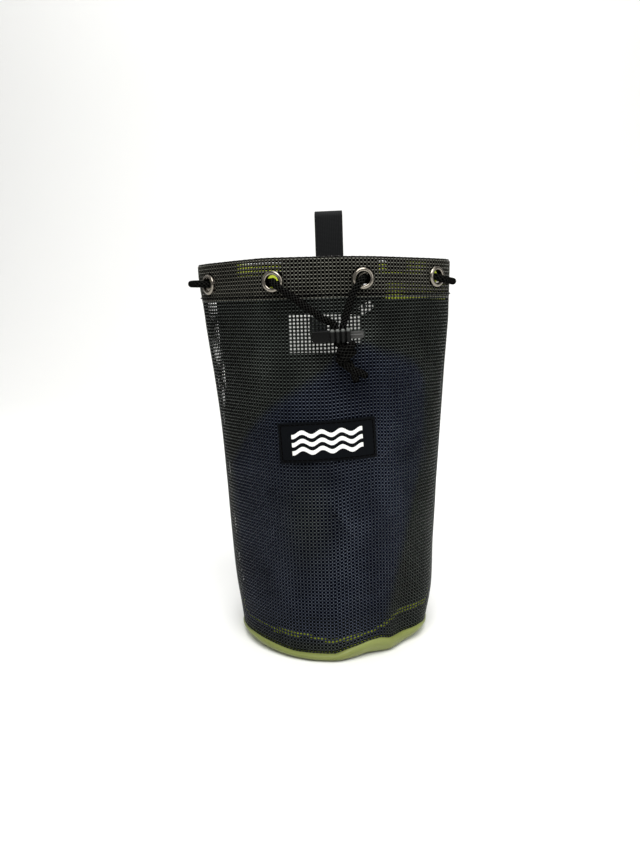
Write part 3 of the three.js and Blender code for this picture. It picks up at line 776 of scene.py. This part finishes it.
def meshPanel(name):
    panel = panels[name]
    cloth = flatWeave(panel["columns"], panels["rows"])
    x, y, lift = spotsOf(cloth).T
    around = panel["start"] + x / degree
    edge = np.minimum(x, panel["columns"] * weave["pitch"] - x)
    tuck = panel["lap"] * np.clip(1.6 - edge / panels["lapWidth"], 0, 1)
    low, high = lowerEdge(around), wall["hemFoot"]
    height = low + (high - low) * y / (panels["rows"] * weave["rowPitch"])
    crease = creaseShare(around, height)
    out = panels["middle"] + lift - tuck + panels["crease"]["out"] * crease
    setSpots(cloth, placeOnWall(around, height, out))
    top, near = readTable(pad["tops"], fromFront(around)), fromFront(around)
    right = padRight((height - pad["foot"]) / (top - pad["foot"]))
    inside = np.min([top - height, height - pad["foot"], (near - pad["left"]) * degree,
                     (right - near) * degree], axis=0)
    *hollow, less = panels["hollow"].values()
    # painted bounce light: the foam's blue on the strands in front of it, less in the hollow
    backed = np.interp(inside, (-2, 6), (0, 1)) * (1 - less * softSpot(near, height, *hollow))
    setAttribute(cloth, "bounce", backed)  # 1 where the foam lies behind
    # painted highlight: stronger on the crease and the gleams, faded up the wall and towards the sides as
    # painted shade
    glint = 1 + panels["crease"]["shine"] * crease
    for *spot, gain in panels["gleams"]:
        glint += gain * softSpot(near, height, *spot)
    fadeStrands(cloth, glint * readTable(weave["across"], height) * readTable(weave["acrossSide"], near),
                glint * readTable(weave["up"], height) * readTable(weave["upSide"], near))
    closeStrands(cloth)
    return cloth


for panelName in ("front", "back"):
    finishPiece(meshPanel(panelName), panelName + "_mesh", meshVinyl, ["mesh_body"])

# Hem: the mesh folded in over the rim
hem = {
    "foot": 226.6, "face": 22.8, "fold": 0.55, "middle": -1.1, "rows": 22, "eyeletRoom": 5.7,
    # the inner layer lies askew: around, millimetres sideways
    "askew": (
        (-90, 0), (-66, -0.1), (-50, -0.1), (-45, -1.25), (-36, -1.05), (-33.5, -0.2), (-31, -0.85),
        (-24, -0.5), (-17, -0.25), (-12, 1), (0, 1.16), (20, 1.4), (28, 1.5), (31.5, 0.7), (35, 0.75),
        (50, 0.82), (61, 0.9), (66, -0.1), (90, 0),
    ),
    # and hangs lower at the rim, and above and below the middle of the hem: around, millimetres
    "sagRim": 0.68,
    "sagAbove": (
        (-90, 0.68), (-47, 0.68), (-43, 0), (-36, 0), (-33, 0.35), (-20, 0.35), (-15, 0.68), (30, 0.68),
        (31, 0), (34, 0), (36, 0.68), (46, 0.68), (48.5, 0.4), (60, 0.4), (63, 0.68), (90, 0.68),
    ),
    "sagBelow": ((-90, 0.68), (34, 0.68), (37, 0.1), (43, 0.1), (48, 0.5), (80, 0.5), (86, 0.68), (90, 0.68)),
    "rimTurn": (1.2, 2.2), "sagTurn": (7, 9.5),
    "droop": ((-180, 0), (10, 0), (40, 0.7), (70, 2), (90, 2.3), (110, 1.2), (140, 0), (180, 0)),
    # how far the rim stands above its usual height
    "rise": (
        (-180, 0.4), (-165, 1.2), (-140, 1.6), (-118, 1.4), (-100, 0.6), (-75, 0.5), (-50, 1.2), (-28, 1.6),
        (-8, 1.3), (15, 0.9), (40, 0.5), (80, 0.6), (110, 0), (180, 0.4),
    ),
    "seam": 1.8, "seamOut": 0.2,  # its stitches, above its foot
    # how much of the painted highlight the hem's strands up keep
    "upShine": 0.78,
}
eyelets = [360 * (index + 0.5) / cord["eyelets"] for index in range(cord["eyelets"])]


def rimDroop(around):
    return readTable(hem["droop"], fromFront(around))


def rimRise(around):
    return readTable(hem["rise"], fromFront(around))


def hemCloth():
    cloth = flatWeave(weave["columns"], hem["rows"])
    x, y, lift = spotsOf(cloth).T
    radius = hem["fold"]
    bend = np.clip((y - hem["face"]) / radius, 0, math.pi)  # over the rim
    down = np.maximum(y - hem["face"] - math.pi * radius, 0)
    rise = np.minimum(y, hem["face"])
    height = hem["foot"] + rise + np.sin(bend) * (radius + lift) - down
    out = hem["middle"] + np.cos(bend) * (radius + lift)
    inner = np.clip(bend / math.pi, 0, 1)
    near = fromFront(x / degree)
    askew, above, below = (readTable(hem[name], near) * inner for name in ("askew", "sagAbove", "sagBelow"))
    rimSag = hem["sagRim"] * inner
    sag = rimSag + (above - rimSag) * np.interp(down, hem["rimTurn"], (0, 1))
    sag += (below - above) * np.interp(down, hem["sagTurn"], (0, 1))
    height += rimRise(near) * (rise - down) / hem["face"] - sag - rimDroop(near)
    setSpots(cloth, placeOnWall((x + askew) / degree, height, out))
    # less painted highlight on the strands up
    fadeStrands(cloth, 1, hem["upShine"])
    column, row = np.rint(x / weave["pitch"]), np.rint(y / weave["rowPitch"]) * weave["rowPitch"]
    level = np.where(row < hem["face"] + 1, row, 2 * hem["face"] + math.pi * radius - row)
    level += level * rimRise(near) / hem["face"] + hem["foot"] - rimDroop(near)
    across = [fromFront(column * weave["pitch"] / degree - around) * degree for around in eyelets]
    reach = np.min([np.hypot(gap, level - cord["eyeletHeight"]) for gap in across], axis=0)
    openEdit(cloth, reach < hem["eyeletRoom"])
    bpy.ops.mesh.delete(type="VERT")  # room for the eyelets
    closeEdit()
    closeStrands(cloth)
    return cloth


finishPiece(hemCloth(), "folded_hem", hemVinyl, ["hem_band"])


# Eyelets: pressed brass, nickel plated
eyelet = {
    "steps": 40, "wall": 2.2, "facing": 0.8, "room": 0.8,
    # half sections, from the bore: radius, along
    "outer": (
        (3.9, -0.4), (3.95, 0.25), (4.2, 0.8), (4.6, 1.12), (5.1, 1.2), (5.75, 1.08), (6.25, 0.75),
        (6.5, 0.3),
    ),
    "neck": 4.75, "shoulder": 0.28,
    "inner": ((6.6, 0.3), (6.45, 0.7), (6, 0.98), (5.4, 1.02), (4.9, 0.8), (4.5, 0.4), (4.4, 0)),
}


def spunEyelet(grip):
    neck, shoulder = eyelet["neck"], eyelet["shoulder"]
    profile = list(eyelet["outer"]) + [(neck, shoulder), (neck, -grip - shoulder)]
    profile += [(radius, -grip - along) for radius, along in eyelet["inner"]]
    clearSelection()
    bpy.ops.mesh.primitive_plane_add(size=mm)
    spool = bpy.context.object
    openEdit(spool)
    bpy.ops.mesh.merge(type="CENTER")
    bpy.ops.transform.translate(value=(profile[0][0] * mm, 0, profile[0][1] * mm))
    for (r0, a0), (r1, a1) in zip(profile, profile[1:] + profile[:1]):
        step = ((r1 - r0) * mm, 0, (a1 - a0) * mm)
        bpy.ops.mesh.extrude_region_move(TRANSFORM_OT_translate={"value": step})
    bpy.ops.mesh.select_all(action="SELECT")
    bpy.ops.mesh.remove_doubles(threshold=1e-6)
    bpy.ops.mesh.spin(steps=eyelet["steps"], angle=2 * math.pi, center=(0, 0, 0), axis=(0, 0, 1))
    bpy.ops.mesh.select_all(action="SELECT")
    bpy.ops.mesh.remove_doubles(threshold=1e-6)
    bpy.ops.mesh.normals_make_consistent(inside=False)
    closeEdit()
    return spool


# Nickel plate on pressed brass: bright grey, slightly warm, fine rub marks
nickel, shader = newMaterial("nickel-plated brass, pressed", "#857f75", Metallic=1.0, Roughness=0.2)
spot = addNode(nickel, "TexCoord")
rub = addNode(nickel, "TexNoise", Vector=spot.outputs["Object"], Scale=900.0, Detail=5.0)  # 1.1 mm
rough = addNode(nickel, "MapRange", Value=rub, To_Min=0.1, To_Max=0.26)
feed(nickel, shader, "Roughness", rough)
bump = addNode(nickel, "Bump", Height=rub, Strength=0.08, Distance=0.0002)
feed(nickel, shader, "Normal", bump)

spools = [spunEyelet(eyelet["wall"] + eyelet["room"] + extra) for extra in (0, eyelet["facing"])]
for index, around in enumerate(eyelets):
    piece = copyOf(spools[90 < around < 270])
    height = cord["eyeletHeight"]
    settle(piece, facingOut(around, height), placeOnWall(around, height, 0))
    finishPiece(piece, f"nickel_eyelet_{index + 1}", nickel, [f"eyelet_{index + 1}"], angle=50)
for spool in spools:
    bpy.data.objects.remove(spool)


# Base: lime coated cloth, its rounded edge bulges under the mesh and its skirt turns up inside
base = {
    "columns": 192, "rows": 40, "thickness": 0.9, "skirtOut": -1.55, "tuck": 0.7, "climb": 0.75, "lap": 0.98,
    "inset": 4,
    # the rounded edge: share of the mesh edge's height, out
    "edge": (
        (0, -8), (0.04, -5.6), (0.12, -4), (0.24, -2.4), (0.38, -1.2), (0.58, 0.2), (0.78, 0.8), (0.93, 0.45),
    ),
    # how far it pushes out at the ground
    "push": (
        (-180, 0), (-85, -3), (-60, -1.5), (-42, 1.5), (-28, 3), (-8, 5), (7, 5), (13, 2.5), (22, -0.5),
        (28, 0.5), (36, 3.5), (44, 4), (54, 1), (66, -1.5), (90, -3), (130, 0), (180, 0),
    ),
}


def limeMaterial(name, dark, light, skirt=None):
    material, shader = newMaterial(name, light, Roughness=0.45, Specular_IOR_Level=0.3)
    spot = addNode(material, "TexCoord")
    patch = addNode(material, "TexNoise", Vector=spot.outputs["Object"], Scale=38.0, Detail=4.0)  # 26 mm
    tone = addNode(material, "Mix", {"data_type": "RGBA"}, Factor=patch,
                   _6=linearColour(dark), _7=linearColour(light))
    if skirt:  # painted light: brighter where the mesh covers it
        part = addNode(material, "SeparateXYZ", Vector=addNode(material, "UVMap"))
        covered = addNode(material, "Math", {"operation": "GREATER_THAN"}, _0=part.outputs[1],
                          _1=base["climb"] + 0.01)
        tone = addNode(material, "Mix", {"data_type": "RGBA"}, Factor=covered,
                       _6=tone.outputs[2], _7=linearColour(skirt))
    feed(material, shader, "Base Color", tone.outputs[2])
    scrim = addNode(material, "TexVoronoi", Vector=spot.outputs["Object"], Scale=900.0)  # 1.1 mm
    bump = addNode(material, "Bump", Height=scrim, Strength=0.12, Distance=0.0002)
    feed(material, shader, "Normal", bump)
    return material


# Vinyl-coated polyester, calendered: lime darkened to olive as painted shade, satin, the scrim's weave just
# shows
limeVinyl = limeMaterial("lime vinyl-coated cloth, calendered", "#666d38", "#838b4a", skirt="#b7c62e")
# The facing is the same lime painted brighter than the base, the lit copy of the base's shaded lime
limeTape = limeMaterial("lime coated tape, slit", "#b7c62e", "#d0de45")


def baseCloth():
    share, out = zip(*base["edge"])
    reach = np.linspace(0, 1, len(share))

    def form(across, up):
        around = across * 360
        edge, top = lowerEdge(around), skirtTop(around)
        bulge = np.clip(up / base["tuck"], 0, 1)
        level = np.interp(bulge, reach, share)
        height = level * edge
        outAt = np.interp(bulge, reach, out) + (1 - level) * readTable(base["push"], fromFront(around))
        turn = np.clip((up - base["tuck"]) / (base["climb"] - base["tuck"]), 0, 1)  # tucked under the mesh
        climb = np.clip((up - base["climb"]) / (1 - base["climb"]), 0, 1)
        height = height + (edge * base["lap"] - height) * turn + (top - edge * base["lap"]) * climb
        return placeOnWall(around, height, outAt + (base["skirtOut"] - outAt) * turn)

    cloth = gridSheet(base["columns"], base["rows"], form)
    mergeDoubles(cloth)
    openEdit(cloth, spotsOf(cloth)[:, 2] < 1e-3)
    bpy.ops.mesh.edge_face_add()  # the flat underside
    bpy.ops.mesh.inset(thickness=base["inset"] * mm)
    bpy.ops.mesh.poke()
    closeEdit()
    applyModifier(cloth, "SOLIDIFY", thickness=base["thickness"] * mm, offset=-1)
    return cloth


finishPiece(baseCloth(), "lime_base", limeVinyl, ["base_panel"])


def wallStrip(columns, rows, at, thickness):
    # a sheet that follows the wall; at gives around, height and out
    strip = gridSheet(columns, rows, lambda across, up: placeOnWall(*at(across, up)))
    applyModifier(strip, "SOLIDIFY", thickness=thickness * mm, offset=-1)
    return strip


# Polyester lining, plain weave: matt black. Behind the rear half it is painted shade, a black sheet standing
# in for the dark seen through the rear mesh, and it carries the white label
liningCloth, shader = newMaterial("polyester lining, plain weave", "#050605", Roughness=0.85,
                                  Specular_IOR_Level=0.04)
spot = addNode(liningCloth, "TexCoord")
thread = addNode(liningCloth, "TexNoise", Vector=spot.outputs["Object"], Scale=1400.0, Detail=2.0)  # 0.7 mm
bump = addNode(liningCloth, "Bump", Height=thread, Strength=0.3, Distance=0.0002)
feed(liningCloth, shader, "Normal", bump)
lining = {
    "from": 94, "to": 267, "out": -1.28, "foot": 3, "top": 227, "flatTall": 217, "thickness": 0.12,
    "away": ((0, 0), (0.62, 0), (0.74, 11), (1, 11)),  # its left edge draws back at the top
}


def shadeSheetForm(across, up):
    around = lining["from"] + across * (lining["to"] - readTable(lining["away"], up) - lining["from"])
    foot = lowerEdge(around) * (1 - up) + lining["foot"]
    return around, foot + up * (lining["top"] - lining["foot"]), lining["out"]


# painted shade: a black sheet behind the rear mesh for the dark seen through it
rearShadeSheet = wallStrip(96, 60, shadeSheetForm, lining["thickness"])
finishPiece(rearShadeSheet, "rear_shade_sheet", liningCloth)

# A cup of the same cloth lines the base
cup = {"floor": 1.3, "top": 27, "reach": ((0, -9.4), (0.08, -5), (0.25, -2.75), (1, -2.66))}
lowerLining = gridSheet(120, 12, lambda across, up: placeOnWall(
    across * 360, cup["floor"] + up * (cup["top"] - cup["floor"]), readTable(cup["reach"], up)))
mergeDoubles(lowerLining)
openEdit(lowerLining, spotsOf(lowerLining)[:, 2] < cup["floor"] + 1e-3)
bpy.ops.mesh.edge_face_add()
bpy.ops.mesh.poke()
closeEdit()
applyModifier(lowerLining, "SOLIDIFY", thickness=lining["thickness"] * mm, offset=-1)
finishPiece(lowerLining, "lower_lining", liningCloth, angle=40)

# Seam tape over the foot of the skirt, the lime edge shows above it
tape = {
    "foot": 0.6, "out": -1.36,
    # how much lime it leaves: around, millimetres
    "leaves": (
        (-180, 0.6), (-36, 0.6), (-32, 3.6), (-16, 3.4), (-14, 1.9), (-7, 1.9), (-4, 1.2), (2, 2.4),
        (14, 2.4), (19, 1.4), (30, 1.4), (33, 2.4), (41, 2), (45, 2.6), (64, 2.6), (70, 0.6), (180, 0.6),
    ),
}


def tapeForm(across, up):
    around = across * 360
    foot = lowerEdge(around) + tape["foot"]
    top = skirtTop(around) - readTable(tape["leaves"], fromFront(around))
    return around, foot + up * (top - foot), tape["out"]


seamTape = wallStrip(384, 3, tapeForm, lining["thickness"])
mergeDoubles(seamTape)
finishPiece(seamTape, "seam_tape", liningCloth)

# Lime strip inside the back of the hem, with a dark patch over it behind the belt loop
facing = {
    "top": 249.8, "out": -2.5, "thickness": 0.5, "hole": 5,
    "runs": ((90, 149), (211, 270)), "patch": (149, 211),
    "foot": ((90, 222.4), (138, 222.6), (150, 225.5), (222, 225.5), (232, 225.1), (270, 225.3)),
}


def facingStrip(start, end):
    def form(across, up):
        around = start + across * (end - start)
        foot = readTable(facing["foot"], around)
        return around, foot + up * (facing["top"] + rimRise(around) - rimDroop(around) - foot), facing["out"]

    strip = wallStrip(round((end - start) / 1.5), 16, form, facing["thickness"])
    for around in eyelets:
        if start < around < end:
            clearSelection()
            bpy.ops.mesh.primitive_cylinder_add(vertices=32, radius=facing["hole"] * mm, depth=20 * mm)
            cutter = bpy.context.object
            height = cord["eyeletHeight"]
            settle(cutter, facingOut(around, height), placeOnWall(around, height, facing["out"]))
            cutAway(strip, cutter)
    return strip


limeFacing = joinPieces([facingStrip(*run) for run in facing["runs"]])
finishPiece(limeFacing, "lime_facing", limeTape, ["rim_facing"], angle=40)
finishPiece(facingStrip(*facing["patch"]), "loop_patch", liningCloth, ["rim_facing"], angle=40)


# Labels: one in front, and one inside whose corner is turned up
frontLabel = {
    "around": 2.8, "height": 140.5, "width": 60, "tall": 25, "tilt": 2.8, "out": 1.3, "thickness": 1,
    "margin": 1.6,
}
innerLabel = {
    "around": 185, "height": 198.9, "width": 55, "tall": 28.4, "tilt": 1.2, "out": -1.5, "thickness": 0.5,
}
labelCorner = {**innerLabel, "around": 158.3, "height": 217.4, "width": 11, "tall": 6.5, "tilt": -28}


def labelSpot(label, x, y):
    tilt = math.radians(label["tilt"])
    across, up = x * math.cos(tilt) - y * math.sin(tilt), x * math.sin(tilt) + y * math.cos(tilt)
    return label["around"] + across / degree, label["height"] + up


def labelPatch(label):
    form = lambda across, up: (*labelSpot(label, (across - 0.5) * label["width"], (up - 0.5) * label["tall"]),
                               label["out"])
    patch = wallStrip(60, 26, form, label["thickness"])
    bevelEdges(patch, 0.25, 2)
    return patch


# Damask label, woven: black satin ground, a plain border and three waves in off-white yarn
labelCloth, shader = newMaterial("damask label, woven", "#05070a", Roughness=0.6, Specular_IOR_Level=0.05)
uv = addNode(labelCloth, "UVMap")
part = addNode(labelCloth, "SeparateXYZ", Vector=uv)
turn = addNode(labelCloth, "Math", {"operation": "MULTIPLY"}, _0=part, _1=31.4)  # waves 12 mm long
swell = addNode(labelCloth, "Math", {"operation": "SINE"}, _0=turn)
swung = addNode(labelCloth, "Math", {"operation": "MULTIPLY_ADD"}, _0=swell, _1=-0.05, _2=part.outputs[1])
thirds = addNode(labelCloth, "Math", {"operation": "PINGPONG"}, _0=swung, _1=0.1)  # and 5 mm apart
line = addNode(labelCloth, "Math", {"operation": "GREATER_THAN"}, _0=thirds, _1=0.048)
within = []
for place, half in ((part, 0.36), (swung, 0.29)):  # from the middle of the label, across and up
    off = addNode(labelCloth, "Math", {"operation": "SUBTRACT"}, _0=place, _1=0.5)
    off = addNode(labelCloth, "Math", {"operation": "ABSOLUTE"}, _0=off)
    within.append(addNode(labelCloth, "Math", {"operation": "LESS_THAN"}, _0=off, _1=half))
inside = addNode(labelCloth, "Math", {"operation": "MULTIPLY"}, _0=within[0], _1=within[1])
waves = addNode(labelCloth, "Math", {"operation": "MULTIPLY"}, _0=inside, _1=line)
tone = addNode(labelCloth, "Mix", {"data_type": "RGBA"}, Factor=waves,
               _6=linearColour("#05070a"), _7=linearColour("#e6e6e2"))
feed(labelCloth, shader, "Base Color", tone.outputs[2])
spot = addNode(labelCloth, "TexCoord")
yarn = addNode(labelCloth, "TexNoise", Vector=spot.outputs["Object"], Scale=1800.0, Detail=2.0)  # 0.5 mm
bump = addNode(labelCloth, "Bump", Height=yarn, Strength=0.25, Distance=0.0002)
feed(labelCloth, shader, "Normal", bump)
finishPiece(labelPatch(frontLabel), "woven_label", labelCloth, ["front_label"], angle=40)

# Satin label tape: white, soft gloss, one dark panel
whiteTape, shader = newMaterial("satin label tape, woven", "#e0e0dc", Roughness=0.5)
part = addNode(whiteTape, "SeparateXYZ", Vector=addNode(whiteTape, "UVMap"))
within = [addNode(whiteTape, "Math", {"operation": "COMPARE"}, _0=part.outputs[axis], _1=middle, _2=half)
          for axis, middle, half in ((0, 0.58, 0.12), (1, 0.68, 0.26))]
panel = addNode(whiteTape, "Math", {"operation": "MULTIPLY"}, _0=within[0], _1=within[1])
tone = addNode(whiteTape, "Mix", {"data_type": "RGBA"}, Factor=panel,
               _6=linearColour("#e0e0dc"), _7=linearColour("#16181a"))
feed(whiteTape, shader, "Base Color", tone.outputs[2])
spot = addNode(whiteTape, "TexCoord")
satin = addNode(whiteTape, "TexNoise", Vector=spot.outputs["Object"], Scale=1200.0, Detail=2.0)  # 0.8 mm
bump = addNode(whiteTape, "Bump", Height=satin, Strength=0.15, Distance=0.0002)
feed(whiteTape, shader, "Normal", bump)
whiteLabel = joinPieces([labelPatch(innerLabel), labelPatch(labelCorner)])
finishPiece(whiteLabel, "white_label", whiteTape, ["inner_label"], angle=40)


# Belt loop: webbing folded over the back of the hem
loop = {
    "width": 20, "thickness": 1.6, "space": 5, "foot": 229.5, "top": 288, "gap": 0.3,
    "stitches": (231.6, 244.5), "margin": 1.5,  # heights of the stitch rows, and their gap to its edges
}


def webbingLoop():
    back = placeOnWall(180, loop["foot"], loop["gap"])[1]
    middle, radius = back - loop["space"] / 2, (loop["space"] + loop["thickness"]) / 2
    bend = loop["top"] - radius - loop["thickness"] / 2
    leg = bend - loop["foot"]
    total = 2 * leg + math.pi * radius

    def form(across, along):
        run = along * total
        angle = np.clip((run - leg) / radius, 0, math.pi)
        over = np.where(run > total - leg, loop["foot"] + total - run, bend + np.sin(angle) * radius)
        z = np.where(run < leg, loop["foot"] + run, over)
        y = middle + np.cos(angle) * radius
        return np.stack([(0.5 - across) * loop["width"], y, z], axis=-1)

    strap = gridSheet(20, 120, form)
    applyModifier(strap, "SOLIDIFY", thickness=loop["thickness"] * mm, offset=0)
    bevelEdges(strap, 0.4, 3)
    stretchUv(strap, loop["width"], total)  # millimetres of webbing
    return strap


# Polypropylene webbing, woven: charcoal, ribs along it and fine picks across
webbing, shader = newMaterial("polypropylene webbing, woven", "#121314", Roughness=0.6,
                              Specular_IOR_Level=0.12)
uv = addNode(webbing, "UVMap")
rib = addNode(webbing, "TexWave", {"bands_direction": "X"}, Vector=uv, Scale=0.24)  # ribs 1.3 mm
weft = addNode(webbing, "TexWave", {"bands_direction": "Y"}, Vector=uv, Scale=0.35)  # picks 0.9 mm
cross = addNode(webbing, "Math", {"operation": "MULTIPLY"}, _0=rib.outputs[1], _1=weft.outputs[1])
tone = addNode(webbing, "Mix", {"data_type": "RGBA"}, Factor=cross,
               _6=linearColour("#0d0e0f"), _7=linearColour("#1b1c1d"))
feed(webbing, shader, "Base Color", tone.outputs[2])
bump = addNode(webbing, "Bump", Height=cross, Strength=0.5, Distance=0.0003)
feed(webbing, shader, "Normal", bump)
finishPiece(webbingLoop(), "webbing_loop", webbing, ["belt_loop"], angle=40)


# Stitching: one stitch is modelled and copied along each seam
stitch = {"length": 3, "pitch": 3.1, "width": 1, "tall": 0.6}
# Bonded nylon thread: black with a slight waxy gloss
thread, shader = newMaterial("bonded nylon thread", "#030303", Roughness=0.5, Specular_IOR_Level=0.02)
spot = addNode(thread, "TexCoord")
twist = addNode(thread, "TexNoise", Vector=spot.outputs["Object"], Scale=2400.0, Detail=1.0)  # 0.4 mm
bump = addNode(thread, "Bump", Height=twist, Strength=0.3, Distance=0.0001)
feed(thread, shader, "Normal", bump)


def stitchRow(length, at):
    # stitches along x, carried to their seam by at(along, up, out)
    count = round(length / stitch["pitch"])
    clearSelection()
    bpy.ops.mesh.primitive_uv_sphere_add(segments=6, ring_count=5, radius=0.5)
    row = bpy.context.object
    pick(row)
    row.rotation_euler = (0, math.pi / 2, 0)
    bpy.ops.object.transform_apply(location=True, rotation=True, scale=True)
    setSpots(row, spotsOf(row) * mm * (stitch["length"], stitch["width"], stitch["tall"]))
    step = length / count
    applyModifier(row, "ARRAY", count=count, use_relative_offset=False, use_constant_offset=True,
                  constant_offset_displace=(step * mm, 0, 0))
    x, y, z = spotsOf(row).T
    setSpots(row, at(x + step / 2, y, z))
    return row


def hemSeam(x, y, z):
    around = x / degree
    return placeOnWall(around, hem["foot"] + hem["seam"] - rimDroop(around) + y, hem["seamOut"] + z)


def labelSide(turn):
    # one of the four sides of the front label
    wide, tall = (frontLabel[size] - 2 * frontLabel["margin"] for size in ("width", "tall"))
    run, off = (wide, tall) if turn % 2 == 0 else (tall, wide)
    cos, sin = math.cos(turn * math.pi / 2), math.sin(turn * math.pi / 2)

    def at(x, y, z):
        u, v = x - run / 2, y - off / 2
        around, height = labelSpot(frontLabel, u * cos - v * sin, u * sin + v * cos)
        return placeOnWall(around, height, frontLabel["out"] + 0.05 + z)

    return stitchRow(run, at)


def loopSeam(level):
    wide = loop["width"] - 2 * loop["margin"]
    back = placeOnWall(180, loop["foot"], loop["gap"])[1] + loop["thickness"] + 0.1
    return stitchRow(wide, lambda x, y, z: np.stack([x - wide / 2, back + z, level + y], axis=-1))


seamThread = joinPieces([
    stitchRow(girth, hemSeam), *[labelSide(turn) for turn in range(4)],
    *[loopSeam(level) for level in loop["stitches"]],
])
turnNormalsOut(seamThread)
finishPiece(seamThread, "seam_thread", thread)


# Floor and light
studio = {
    "floor": "#f4f4f2", "world": 0.34,
    # watts, size, place, what it is aimed at
    "lights": {
        "overhead": (30, 1.2, (0.15, -0.95, 1.5), (0, 0, 0.12)),
        "right fill": (5, 1.0, (1.2, -0.7, 0.7), (0, 0, 0.12)),
        "left fill": (1, 0.8, (-1.1, 0.2, 0.9), (0, 0, 0.15)),
        "backdrop": (28, 1.5, (0, 0.7, 2.4), (0, 1.9, 0.6)),
    },
}


def makeFloor():
    clearSelection()
    bpy.ops.mesh.primitive_plane_add(size=4, location=(0, 0, -0.0006))
    floor = bpy.context.object
    spots = spotsOf(floor)
    openEdit(floor, spots[:, 1] > 0)
    bpy.ops.mesh.extrude_region_move(TRANSFORM_OT_translate={"value": (0, 0, 3)})
    closeEdit()
    bevelEdges(floor, 900, 12, 40)
    paper, shader = newMaterial("seamless paper", studio["floor"], Roughness=0.9)
    spot = addNode(paper, "TexCoord")
    fibre = addNode(paper, "TexNoise", Vector=spot.outputs["Object"], Scale=300.0, Detail=2.0)  # 3 mm
    bump = addNode(paper, "Bump", Height=fibre, Strength=0.02, Distance=0.0005)
    feed(paper, shader, "Normal", bump)
    floor.name = "studio_floor"
    floor.data.materials.append(paper)
    pick(floor)
    bpy.ops.object.shade_smooth()
    floor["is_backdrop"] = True


def softLight(name, power, size, spot, aim):
    data = bpy.data.lights.new(name, "AREA")
    data.energy, data.size = power, size
    lamp = bpy.data.objects.new(name, data)
    bpy.context.collection.objects.link(lamp)
    lamp.location = spot
    lamp.rotation_euler = (Vector(aim) - Vector(spot)).to_track_quat("-Z", "Y").to_euler()


makeFloor()
bpy.context.scene.view_settings.view_transform = "Standard"
world = bpy.data.worlds.new("studio")
bpy.context.scene.world = world
world.use_nodes = True
world.node_tree.nodes["Background"].inputs[0].default_value = (1, 1, 1, 1)
world.node_tree.nodes["Background"].inputs[1].default_value = studio["world"]
for name, settings in studio["lights"].items():
    softLight(name, *settings)
print("studio ready")

{"cad": cadBox, "visual": [list(corner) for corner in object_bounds()]}
